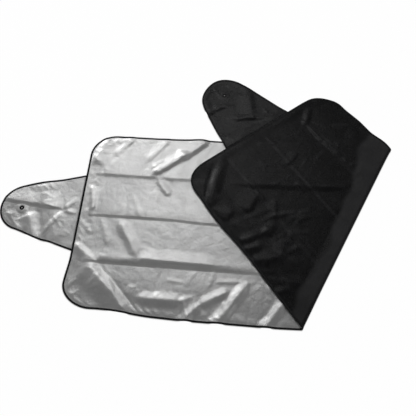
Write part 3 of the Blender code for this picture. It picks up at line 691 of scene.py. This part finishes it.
def panel_flat():
    """Rows across the panel whose columns lean until they lie along the fold."""
    radius = CORNER_RADIUS - CLOTH_EDGE
    rows = []
    for k in range(CORNER_STEPS + 1):
        angle = pi / 2 * k / CORNER_STEPS
        rows.append((-CORNER_V - radius * cos(angle), CORNER_U + radius * sin(angle)))
    straight = int(round((BODY_WIDTH - 2 * CORNER_RADIUS) / ROW_STEP))
    for k in range(1, straight):
        rows.append((-CORNER_V + ROW_STEP * k, HALF_LENGTH - CLOTH_EDGE))
    rows += [(-v, half) for v, half in reversed(rows[: CORNER_STEPS + 1])]
    points = []
    for v, half in rows:
        stops = [-half, fold_u(-FOLD_MARGIN, v), fold_u(0, v), fold_u(ROLL_LENGTH, v)]
        stops += [fold_u(ROLL_LENGTH + FOLD_MARGIN, v), half]
        for i, count in enumerate(PANEL_COLUMNS):
            for k in range(count):
                share = k / count
                points.append((stops[i] * (1 - share) + stops[i + 1] * share, v))
        points.append((half, v))
    return points, len(rows), sum(PANEL_COLUMNS) + 1


def ear_flat(side):
    """Rows along an ear from its base to its tip, with the eyelet's hole cut out."""
    middle = ear_middle(side)
    radius = EAR_TIP_RADIUS - CLOTH_EDGE
    half = EAR_BASE / 2 - CLOTH_EDGE / cos(EAR_TAPER)
    bend = EAR_CENTRE + radius * sin(EAR_TAPER)
    rows = []
    straight = int(round(bend / EAR_ROW_STEP))
    for k in range(straight):
        along = bend * k / straight
        rows.append((along, half - along * tan(EAR_TAPER)))
    for k in range(TIP_ROWS):
        angle = (pi / 2 - EAR_TAPER) * (1 - k / TIP_ROWS)
        rows.append((EAR_CENTRE + radius * cos(angle), radius * sin(angle)))
    rows.append((EAR_CENTRE + radius * TIP_END[0], radius * TIP_END[1]))
    points = []
    for along, wide in rows:
        for c in range(EAR_COLUMNS):
            share = -1 + 2 * c / (EAR_COLUMNS - 1)
            points.append((side * (EAR_START + along), middle + side * wide * share))
    faces = [tuple(reversed(f)) for f in grid_faces(len(rows), EAR_COLUMNS)]
    points = np.array(points)
    u0, v0 = eyelet_at(side)
    off = np.hypot(points[:, 0] - u0, points[:, 1] - v0)
    faces = [f for f in faces if np.mean(off[list(f)]) > HOLE_CUT]
    used = sorted({i for f in faces for i in f})
    edges = Counter(tuple(sorted((f[i], f[i - 1]))) for f in faces for i in range(4))
    rim = {i for edge, n in edges.items() if n == 1 for i in edge if off[i] < HOLE_NEAR}
    for i in rim:
        away = (points[i] - (u0, v0)) / off[i]
        points[i] = np.array((u0, v0)) + away * (EYELET_HOLE / 2 + EYELET_WALL + GAP)
    renumber = {old: new for new, old in enumerate(used)}
    faces = [tuple(renumber[i] for i in f) for f in faces]
    return points[used], faces


def panel_stations():
    """Points of the tape's inner line round the panel, and the steps across the tape."""
    inner = CORNER_RADIUS - SEAM_STRIP
    points, normals = [], []
    for k, (a, b) in enumerate(((1, 1), (-1, 1), (-1, -1), (1, -1))):
        for i in range(CORNER_STEPS + 1):
            angle = pi / 2 * (k + i / CORNER_STEPS)
            n = (cos(angle), sin(angle))
            points.append((a * CORNER_U + inner * n[0], b * CORNER_V + inner * n[1]))
            normals.append(n)
        # the straight edge after this corner
        start = np.array(points[-1])
        turn = pi / 2 * (k + 1)
        n = np.array((cos(turn), sin(turn)))
        run = np.array((-n[1], n[0]))
        length = 2 * (CORNER_U if k % 2 == 0 else CORNER_V)
        at = ROW_STEP
        while at < length - ROW_STEP / 2:
            p = start + run * at
            points.append(tuple(p))
            normals.append(tuple(n))
            s = (p - FOLD_ORIGIN) @ ACROSS
            at += FOLD_STEP if -FOLD_MARGIN < s < ROLL_LENGTH + FOLD_MARGIN else ROW_STEP
    return np.array(points), np.array(normals)


def ear_stations(side):
    """The same for an ear, from one end of its base round the tip to the other."""
    n = (sin(EAR_TAPER), cos(EAR_TAPER))
    inner = EAR_TIP_RADIUS - SEAM_STRIP
    half = EAR_BASE / 2 - SEAM_STRIP / cos(EAR_TAPER)
    end = (EAR_CENTRE + inner * n[0], inner * n[1])
    length = hypot(end[0], half - end[1])
    points, normals = [], []
    count = int(length / ROW_STEP)
    for k in range(count):
        share = k / count
        points.append((end[0] * share, half + (end[1] - half) * share))
        normals.append(n)
    sweep = pi / 2 - EAR_TAPER
    for k in range(TIP_STATIONS):
        angle = sweep - 2 * sweep * k / (TIP_STATIONS - 1)
        normals.append((cos(angle), sin(angle)))
        points.append((EAR_CENTRE + inner * cos(angle), inner * sin(angle)))
    for k in range(count - 1, -1, -1):
        points.append((points[k][0], -points[k][1]))
        normals.append((n[0], -n[1]))
    points, normals = np.array(points), np.array(normals)
    # the end stations run along the base line, so the tape meets the panel squarely
    for i in (0, -1):
        normals[i] = (0.0, 1.0 / normals[i][1])
    points[:, 0] = side * (EAR_START + points[:, 0])
    normals[:, 0] *= side
    points[:, 1] += ear_middle(side)
    return points, normals


def wrap_steps(points, normals):
    """Turns the steps across the tape along the fold where the tape goes round it."""
    steps = normals.copy()
    for i, p in enumerate(points):
        s = (p - FOLD_ORIGIN) @ ACROSS
        share = smooth((s + FOLD_MARGIN) / WRAP_TURN)
        share = share * (1 - smooth((s - ROLL_LENGTH - WRAP_AFTER) / WRAP_TURN))
        if share > 0:
            n = normals[i]
            slanted = ALONG * (n @ n) / (ALONG @ n)
            steps[i] = n + (slanted - n) * float(share)
    return steps


# the tape's section round the cloth's edge: distance from the outer edge, height
TAPE_FACE = (
    (0.0068, 0.00066), (0.0066, 0.00088), (0.0060, 0.00095), (0.0030, 0.00092),
    (0.0011, 0.00095), (0.0004, 0.00080), (0.0000, 0.00038),
)
TAPE_LINING = ((0.0004, 0.00050), (0.0062, 0.00055))
TAPE_PROFILE = (
    TAPE_FACE
    + tuple((depth, -high) for depth, high in reversed(TAPE_FACE))
    + tuple((depth, -high) for depth, high in reversed(TAPE_LINING))
    + TAPE_LINING
)
# where the tape's back starts across its weave
TAPE_BACK = 0.008
# a stitch: sides of its thread, and its rings by place and height
THREAD_SIDES = 5
STITCH_SHARES = np.array([0.0, 0.25, 0.75, 1.0])
STITCH_RISE = np.array([-0.00022, 0.00006, 0.00006, -0.00022])
STITCH_AIM = 0.0003


def gone_along(points):
    """How far along a line each of its points is."""
    return np.concatenate([[0], np.cumsum(np.linalg.norm(np.diff(points, axis=0), axis=1))])


def tape_object(name, points, steps, closed, material):
    """A tape whose section is carried along the stations."""
    count, around = len(points), len(TAPE_PROFILE)
    flat = []
    for depth, height_there in TAPE_PROFILE:
        row = points + steps * (SEAM_STRIP - depth)
        flat.append(np.column_stack([row, np.full(count, height_there)]))
    verts = in_frame(np.concatenate(flat))
    faces = []
    last = count if closed else count - 1
    for j in range(around):
        k = (j + 1) % around
        for i in range(last):
            n = (i + 1) % count
            faces.append((j * count + i, j * count + n, k * count + n, k * count + i))
    if not closed:
        faces.append(tuple(j * count for j in range(around)))
        faces.append(tuple(j * count + count - 1 for j in reversed(range(around))))
    obj = new_object(name, verts, faces)
    mesh = obj.data
    mesh.materials.append(material)
    # the tape's own length and width, for its weave
    gone = gone_along(points)
    uv = mesh.uv_layers.new(name="pattern")
    for loop, data in zip(mesh.loops, uv.data):
        j, i = divmod(loop.vertex_index, count)
        depth, height_there = TAPE_PROFILE[j]
        data.uv = (gone[i], depth + (TAPE_BACK if height_there < 0 else 0))
    return obj


def thread_object(name, lines, material, pitch=0.0036, length=0.0027, thick=0.00024):
    """Stitches along lines of pattern points; each line has a side, above or below."""
    verts, faces = [], []
    for points, side, lift in lines:
        flat = np.asarray(points)
        gone = gone_along(flat)
        starts = np.arange(pitch * 0.6, gone[-1] - length, pitch)
        at = (starts[:, None] + STITCH_SHARES * length).ravel()
        u = np.interp(at, gone, flat[:, 0])
        v = np.interp(at, gone, flat[:, 1])
        on, back = at + STITCH_AIM, at - STITCH_AIM
        du = np.interp(on, gone, flat[:, 0]) - np.interp(back, gone, flat[:, 0])
        dv = np.interp(on, gone, flat[:, 1]) - np.interp(back, gone, flat[:, 1])
        size = np.hypot(du, dv)
        nu, nv = -dv / size, du / size
        up = (lift + np.tile(STITCH_RISE, len(starts))) * side
        rings = []
        for k in range(THREAD_SIDES):
            angle = 2 * pi * k / THREAD_SIDES
            out = thick * cos(angle)
            high = up + side * thick * sin(angle)
            rings.append(in_frame(np.column_stack([u + nu * out, v + nv * out, high])))
        rings = np.stack(rings, axis=1)
        first = len(verts)
        verts.extend(map(tuple, rings.reshape(-1, 3)))
        for n in range(len(starts)):
            start = first + n * len(STITCH_SHARES) * THREAD_SIDES
            end = start + (len(STITCH_SHARES) - 1) * THREAD_SIDES
            for a in range(start, end, THREAD_SIDES):
                for k in range(THREAD_SIDES):
                    m = (k + 1) % THREAD_SIDES
                    faces.append((a + k, a + m, a + THREAD_SIDES + m, a + THREAD_SIDES + k))
            faces.append(tuple(start + k for k in range(THREAD_SIDES)))
            faces.append(tuple(end + k for k in reversed(range(THREAD_SIDES))))
    obj = new_object(name, verts, faces)
    obj.data.materials.append(material)
    return obj


def turned_object(name, profile, side, material, segments=56):
    """A closed profile turned about an eyelet's axis."""
    u0, v0 = eyelet_at(side)
    a, b, d = in_frame([(u0, v0, 0), (u0 + 0.004, v0, 0), (u0, v0, 0.001)])
    x_axis = (b - a) / np.linalg.norm(b - a)
    z_axis = (d - a) / np.linalg.norm(d - a)
    y_axis = np.cross(z_axis, x_axis)
    verts = []
    for k in range(segments):
        angle = 2 * pi * k / segments
        out = x_axis * cos(angle) + y_axis * sin(angle)
        verts += [a + out * r + z_axis * z for r, z in profile]
    n = len(profile)
    faces = []
    for k in range(segments):
        m = (k + 1) % segments
        for i in range(n):
            j = (i + 1) % n
            faces.append((k * n + i, k * n + j, m * n + j, m * n + i))
    obj = new_object(name, verts, faces)
    obj.data.set_sharp_from_angle(angle=radians(50))
    obj.data.materials.append(material)
    return obj


# materials


class Nodes:
    """A short way to write the nodes of a material or the world."""

    def __init__(self, owner, shader="Principled BSDF"):
        owner.use_nodes = True
        self.owner = owner
        self.tree = owner.node_tree
        self.shader = self.tree.nodes[shader]

    def add(self, kind, inputs=(), **settings):
        """A shader node of a kind, with its inputs linked or set."""
        node = self.tree.nodes.new("ShaderNode" + kind)
        for key, value in settings.items():
            setattr(node, key, value)
        for key, value in dict(inputs).items():
            self.give(node.inputs[key], value)
        return node

    def give(self, socket, value):
        if isinstance(value, bpy.types.NodeSocket):
            self.tree.links.new(value, socket)
        else:
            socket.default_value = value

    def pattern(self):
        return self.add("UVMap", uv_map="pattern").outputs["UV"]

    def attribute(self, word):
        return self.add("Attribute", attribute_name=word).outputs["Fac"]

    def times(self, one, two):
        return self.math("MULTIPLY", one, two)

    def math(self, operation, *values):
        return self.add("Math", dict(enumerate(values)), operation=operation).outputs[0]

    def noise(self, vector, scale, detail=3.0, roughness=0.55):
        inputs = {"Vector": vector, "Scale": scale, "Detail": detail}
        return self.add("TexNoise", {**inputs, "Roughness": roughness}).outputs["Fac"]

    def ramp(self, value, *stops):
        """A colour ramp between two stops of (position, grey or colour)."""
        node = self.add("ValToRGB", {"Fac": value})
        for element, (position, color) in zip(node.color_ramp.elements, stops):
            element.position = position
            element.color = (color,) * 3 + (1,) if isinstance(color, float) else (*color, 1)
        return node.outputs["Color"]

    def mix(self, share, one, two, blend="MIX"):
        """Mixes colours; 6, 7 and 2 are the node's colour sockets."""
        inputs = {0: share, 6: one, 7: two}
        return self.add("Mix", inputs, data_type="RGBA", blend_type=blend).outputs[2]

    def weave(self, vector, period):
        """A plain weave's height: threads that pass over and under, period apart."""
        split = self.add("SeparateXYZ", {"Vector": vector})
        k = pi / period
        a = self.math("SINE", self.times(split.outputs["X"], k))
        b = self.math("SINE", self.times(split.outputs["Y"], k))
        over = self.times(self.times(a, b), 0.5)
        ribs = self.math("ADD", self.math("ABSOLUTE", a), self.math("ABSOLUTE", b))
        return self.math("ADD", over, self.times(ribs, 0.5))

    def bump(self, height_value, distance, strength=1.0, normal=None):
        inputs = {"Height": height_value, "Distance": distance, "Strength": strength}
        if normal is not None:
            inputs["Normal"] = normal
        return self.add("Bump", inputs).outputs["Normal"]

    def finish(self, **inputs):
        """Sets the shader's sockets, named with _ for a space."""
        for key, value in inputs.items():
            self.give(self.shader.inputs[key.replace("_", " ")], value)
        return self.owner


def silver_material(name):
    """The silver coating: brushed by handling, creased finely, with a painted highlight
    along its folds.
    """
    n = Nodes(bpy.data.materials.new(name))
    uv = n.pattern()
    painted_light_mask = n.attribute("crease_highlight")
    cloud = n.noise(uv, 5.0, 4.0, 0.6)
    streak = n.noise(uv, 38.0, 3.0, 0.6)
    base = n.ramp(cloud, (0.30, (0.60, 0.60, 0.60)), (0.70, (0.70, 0.70, 0.695)))
    base = n.mix(0.22, base, n.ramp(streak, (0.3, 0.40), (0.72, 0.62)), "MULTIPLY")
    # painted highlight: the coating is paler where the cloth is creased sharply
    base = n.mix(n.times(painted_light_mask, 0.35), base, (0.80, 0.80, 0.79, 1))
    speck = n.noise(uv, 900.0, 2.0, 0.7)
    base = n.mix(0.16, base, n.ramp(speck, (0.35, 0.42), (0.65, 1.0)), "MULTIPLY")
    rough = n.ramp(n.noise(uv, 22.0, 4.0, 0.6), (0.3, 0.28), (0.7, 0.40))
    soft = n.noise(uv, 24.0, 4.0, 0.55)
    broad = n.noise(uv, 8.0, 3.0, 0.5)
    cells = n.add("TexVoronoi", {"Vector": uv, "Scale": 30.0}, feature="DISTANCE_TO_EDGE")
    facets = n.ramp(cells.outputs["Distance"], (0.0, 0.0), (0.22, 1.0))
    normal = n.bump(soft, 0.0016, 0.8, n.bump(broad, 0.0050, 0.7))
    normal = n.bump(facets, 0.0005, 0.35, normal)
    normal = n.bump(n.noise(uv, 160.0, 4.0, 0.6), 0.00022, 0.8, normal)
    normal = n.bump(n.weave(uv, 0.00042), 0.00005, 0.8, normal)
    return n.finish(
        Base_Color=base, Metallic=0.85, Roughness=rough, Normal=normal,
        Specular_IOR_Level=0.5, Sheen_Weight=0.05, Sheen_Roughness=0.4,
    )


def black_material(name, gloss):
    """The black woven side, with painted highlights where it is creased and where it comes
    off the fold.
    """
    n = Nodes(bpy.data.materials.new(name))
    uv = n.pattern()
    painted_light_mask = n.attribute("crease_highlight")
    turned = n.attribute("turn")
    cloud = n.noise(uv, 7.0, 4.0, 0.6)
    base = n.ramp(cloud, (0.3, (0.0016, 0.0016, 0.0018)), (0.7, (0.0030, 0.0030, 0.0033)))
    # painted highlight: the black side is paler where the cloth is creased sharply
    base = n.mix(n.times(painted_light_mask, 0.5), base, (0.016, 0.016, 0.017, 1))
    # painted highlight on the turned over cloth as it comes down from the fold
    painted_fold_light = n.ramp(n.noise(uv, 12.0, 3.0, 0.6), (0.3, 0.55), (0.7, 0.95))
    base = n.mix(n.times(turned, painted_fold_light), base, (0.026, 0.026, 0.027, 1))
    rough = n.ramp(n.noise(uv, 30.0, 3.0, 0.6), (0.3, 0.22), (0.7, 0.32))
    rough = n.math("ADD", rough, n.times(turned, 0.26))
    normal = n.bump(n.noise(uv, 26.0, 4.0, 0.55), 0.0014, 0.7)
    normal = n.bump(n.noise(uv, 170.0, 3.0, 0.6), 0.0002, 0.8, normal)
    normal = n.bump(n.weave(uv, 0.00042), 0.00007, 0.9, normal)
    return n.finish(
        Base_Color=base, Metallic=0.0, Roughness=rough, Normal=normal,
        Specular_IOR_Level=gloss, Sheen_Weight=0.01, Sheen_Roughness=0.35,
    )


def tape_material(name):
    """The ribbed binding tape, whose uv are its own length and width."""
    n = Nodes(bpy.data.materials.new(name))
    uv = n.pattern()
    cloud = n.noise(uv, 30.0, 4.0, 0.6)
    base = n.ramp(cloud, (0.3, (0.0070, 0.0070, 0.0075)), (0.7, (0.0125, 0.0125, 0.0130)))
    split = n.add("SeparateXYZ", {"Vector": uv})
    ribs = n.math("SINE", n.times(split.outputs["X"], 2 * pi / 0.0009))
    normal = n.bump(ribs, 0.00012, 0.8)
    normal = n.bump(n.weave(uv, 0.0003), 0.00005, 0.8, normal)
    rough = n.ramp(n.noise(uv, 90.0, 3.0, 0.6), (0.3, 0.62), (0.7, 0.80))
    return n.finish(
        Base_Color=base, Roughness=rough, Normal=normal,
        Specular_IOR_Level=0.12, Sheen_Weight=0.03, Sheen_Roughness=0.5,
    )


def thread_material(name, color):
    n = Nodes(bpy.data.materials.new(name))
    where = n.add("TexCoord").outputs["Object"]
    darker = tuple(c * 0.7 for c in color)
    base = n.mix(n.noise(where, 700.0, 2.0), (*darker, 1), (*color, 1))
    normal = n.bump(n.noise(where, 5000.0, 2.0), 0.00006, 0.8)
    return n.finish(Base_Color=base, Roughness=0.7, Normal=normal, Sheen_Weight=0.2)


def eyelet_material(name):
    n = Nodes(bpy.data.materials.new(name))
    where = n.add("TexCoord").outputs["Object"]
    cloud = n.noise(where, 260.0, 3.0)
    base = n.ramp(cloud, (0.3, (0.004, 0.004, 0.0045)), (0.7, (0.008, 0.008, 0.0085)))
    rough = n.ramp(n.noise(where, 420.0, 3.0), (0.3, 0.46), (0.7, 0.60))
    normal = n.bump(n.noise(where, 1500.0, 2.0), 0.00003, 0.5)
    return n.finish(
        Base_Color=base, Roughness=rough, Normal=normal, Specular_IOR_Level=0.15,
    )


FLOOR_GLOW = 0.985
# how near the shade the floor's glow dims, for its contact shadow
CONTACT = 0.004


def floor_material():
    """A pale floor that shows white to the camera and keeps the shade's shadow."""
    n = Nodes(bpy.data.materials.new("pale floor"))
    where = n.add("TexCoord").outputs["Object"]
    grain = n.noise(where, 40.0, 3.0)
    base = n.ramp(grain, (0.3, 0.86), (0.7, 0.88))
    n.finish(Base_Color=base, Roughness=0.9, Specular_IOR_Level=0.2)
    path = n.add("LightPath")
    seen = n.math("MAXIMUM", path.outputs["Is Camera Ray"], path.outputs["Is Glossy Ray"])
    seen = n.math("MAXIMUM", seen, path.outputs["Is Transmission Ray"])
    glow = n.add("Emission", {"Color": (1, 1, 1, 1), "Strength": 1.0})
    near = n.add("AmbientOcclusion", {"Distance": CONTACT}, samples=8)
    seen = n.times(seen, n.math("POWER", near.outputs["AO"], 3.0))
    mix = n.add("MixShader", {0: n.times(seen, FLOOR_GLOW)})
    n.give(mix.inputs[1], n.shader.outputs[0])
    n.give(mix.inputs[2], glow.outputs[0])
    n.give(n.tree.nodes["Material Output"].inputs["Surface"], mix.outputs[0])
    return n.owner


# pieces

# how far in from its edge a tape is sewn, and how high its stitches lie
SEWN_IN = 0.0048
STITCH_ON_TAPE = 0.00095
# an ear's seam: beyond its base line, short of its corners, and its points
JOINT_IN = 0.0035
JOINT_SHORT = 0.009
JOINT_POINTS = 60
STITCH_ON_CLOTH = 0.00032
# flat areas inside the bindings, in square metres
PANEL_AREA = 1.0414
EAR_AREA = 0.0597


def stand_in(node):
    """Hides the imported node whose place a new piece takes."""
    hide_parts(node)


def make_sheet(name, shape, edge, closed, seams, finish):
    """A sheet of cloth with its binding and its stitches."""
    silver, black, tape, thread = finish
    sheet = cloth_object(name + "_sheet", *shape, (silver, black))
    stand_in(name + "_cloth")
    points, normals = edge
    steps = wrap_steps(points, normals)
    binding = tape_object(name + "_edge_tape", points, steps, closed, tape)
    stand_in(name + "_binding")
    sewn = points + steps * (SEAM_STRIP - SEWN_IN)
    if closed:
        sewn = np.vstack([sewn, sewn[:1]])
    lines = [(sewn, 1, STITCH_ON_TAPE), (sewn, -1, STITCH_ON_TAPE)] + seams
    sewing = thread_object(name + "_stitches", lines, thread)
    return sheet, [binding, sewing]


def make_panel(finish):
    flat, rows, columns = panel_flat()
    shape = flat, grid_faces(rows, columns)
    return make_sheet("panel", shape, panel_stations(), True, [], finish)


def make_ear(side, word, finish, eyelet):
    """An ear, sewn on along its base line, and its eyelet."""
    base = side * (EAR_START + JOINT_IN)
    half = EAR_BASE / 2
    ends = ear_middle(side) - half + JOINT_SHORT, ear_middle(side) + half - JOINT_SHORT
    joint = np.column_stack([np.full(JOINT_POINTS, base), np.linspace(*ends, JOINT_POINTS)])
    seams = [(joint, 1, STITCH_ON_CLOTH), (joint, -1, STITCH_ON_CLOTH)]
    shape, edge = ear_flat(side), ear_stations(side)
    ear, pieces = make_sheet(word + "_ear", shape, edge, False, seams, finish)
    return ear, pieces + make_eyelet(side, word, eyelet)


def make_eyelet(side, word, material):
    """An eyelet's ring with its barrel, and the ring behind the cloth."""
    top = TAPE_INSIDE
    bore, rim = EYELET_HOLE / 2, EYELET_FLANGE / 2
    barrel = bore + EYELET_WALL
    high, washer = FLANGE_THICKNESS, 0.8 * FLANGE_THICKNESS
    profile = [
        (bore, top + high * 0.35), (bore + 0.0002, top + high * 0.75),
        (bore + 0.0007, top + high * 0.98), (bore + 0.0014, top + high),
        (rim - 0.0026, top + high), (rim - 0.0012, top + high * 0.94),
        (rim - 0.0004, top + high * 0.7), (rim, top + high * 0.35), (rim, top),
        (barrel, top), (barrel, -top - washer), (bore, -top - washer),
    ]
    front = turned_object(word + "_eyelet_ring", profile, side, material)
    stand_in(word + "_eyelet")
    profile = [
        (barrel + 0.0001, -top), (rim, -top), (rim, -top - washer * 0.5),
        (rim - 0.0005, -top - washer * 0.85), (rim - 0.0012, -top - washer),
        (barrel + 0.0006, -top - washer), (barrel + 0.0001, -top - washer * 0.8),
    ]
    back = turned_object(word + "_eyelet_back_ring", profile, side, material)
    stand_in(word + "_eyelet_washer")
    return [front, back]


def make_object():
    words, glosses = ("panel", "left ear", "right ear"), (0.19, 0.24, 0.27)
    silver = [silver_material(word + " silver coating") for word in words]
    black = [black_material(word + " black side", g) for word, g in zip(words, glosses)]
    tape = [tape_material(word + " binding tape") for word in words]
    thread = thread_material("black sewing thread", (0.020, 0.020, 0.021))
    eyelet = eyelet_material("black eyelet")
    finishes = [(*three, thread) for three in zip(silver, black, tape)]

    panel, pieces = make_panel(finishes[0])
    flat_size = BODY_LENGTH, BODY_WIDTH
    sheets = [(panel, flat_size, PANEL_AREA, "folded", pieces, ["floor"])]
    for side, word, finish in ((-1, "left", finishes[1]), (1, "right", finishes[2])):
        ear, pieces = make_ear(side, word, finish, eyelet)
        flat_size = EAR_BASE, EAR_LENGTH
        sheets.append((ear, flat_size, EAR_AREA, "laid", pieces, [panel, "floor"]))
    for sheet, flat_size, area, held, pieces, rests_on in sheets:
        for piece in [sheet] + pieces:
            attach(piece, "root")


# floor, light and camera

FLOOR_HALF = 9
FLOOR_LEVEL = -0.0004
# the room's light, and where its walls turn into the ceiling
WALL_LIGHT = 0.58
CEILING_LIGHT = 0.165
WALL_TOP = 0.45
CEILING_START = 0.72
# lamps: name, place, aim, size in metres, watts
LAMPS = (
    ("key", (-0.36, 1.62, 2.6), (-0.1, 0.1, 0), 1.65, 12.8),
    ("side", (-2.0, 2.8, 1.65), (0, 0, 0), 1.6, 35),
)
# the camera, before the shift to the frame
CAMERA_SPOT = (-0.2255, -0.7589, 1.712)
CAMERA_AIM = (-0.2898, 0.0626, 0.0)
CAMERA_LENS = 45.6
CAMERA_SENSOR = 36.0


def turned_to(spot, aim):
    """The turn of a lamp or camera that looks from spot to aim."""
    return (Vector(aim) - Vector(spot)).to_track_quat("-Z", "Y").to_euler()


def make_floor():
    corners = ((-1, -1), (1, -1), (1, 1), (-1, 1))
    verts = [(FLOOR_HALF * x, FLOOR_HALF * y, FLOOR_LEVEL) for x, y in corners]
    floor = new_object("floor", verts, [(0, 1, 2, 3)])
    floor.data.materials.append(floor_material())


def make_world(scene):
    """White to the camera; on the shade, light walls round a dimmer ceiling."""
    n = Nodes(bpy.data.worlds.new("studio"), "Background")
    scene.world = n.owner
    path = n.add("LightPath").outputs
    seen = n.math("MAXIMUM", path["Is Camera Ray"], path["Is Transmission Ray"])
    split = n.add("SeparateXYZ", {"Vector": n.add("TexCoord").outputs["Generated"]})
    inputs = {"Value": split.outputs["Z"], "From Min": WALL_TOP, "From Max": CEILING_START}
    inputs.update({"To Min": WALL_LIGHT, "To Max": CEILING_LIGHT})
    room = n.add("MapRange", inputs, interpolation_type="SMOOTHSTEP").outputs[0]
    strength = n.add("MapRange", {"Value": seen, "To Min": room, "To Max": 1.0}).outputs[0]
    n.finish(Color=(1, 1, 1, 1), Strength=strength)


def make_lamp(name, spot, aim, size, watts):
    data = bpy.data.lights.new(name, "AREA")
    data.shape = "SQUARE"
    data.size = size
    data.energy = watts
    lamp = linked(name, data)
    lamp.location = spot
    lamp.rotation_euler = turned_to(spot, aim)


def make_camera(scene):
    data = bpy.data.cameras.new("camera")
    data.sensor_width = CAMERA_SENSOR
    data.lens = CAMERA_LENS
    data.clip_end = 50.0
    camera = linked("camera", data)
    spot = Vector(CAMERA_SPOT) + Vector(SHIFT)
    camera.location = spot
    camera.rotation_euler = turned_to(spot, Vector(CAMERA_AIM) + Vector(SHIFT))
    scene.camera = camera


def make_scene():
    scene = bpy.context.scene
    scene.view_settings.view_transform = "Standard"
    make_floor()
    make_world(scene)
    for lamp in LAMPS:
        make_lamp(*lamp)
    make_camera(scene)


make_scene()
make_object()
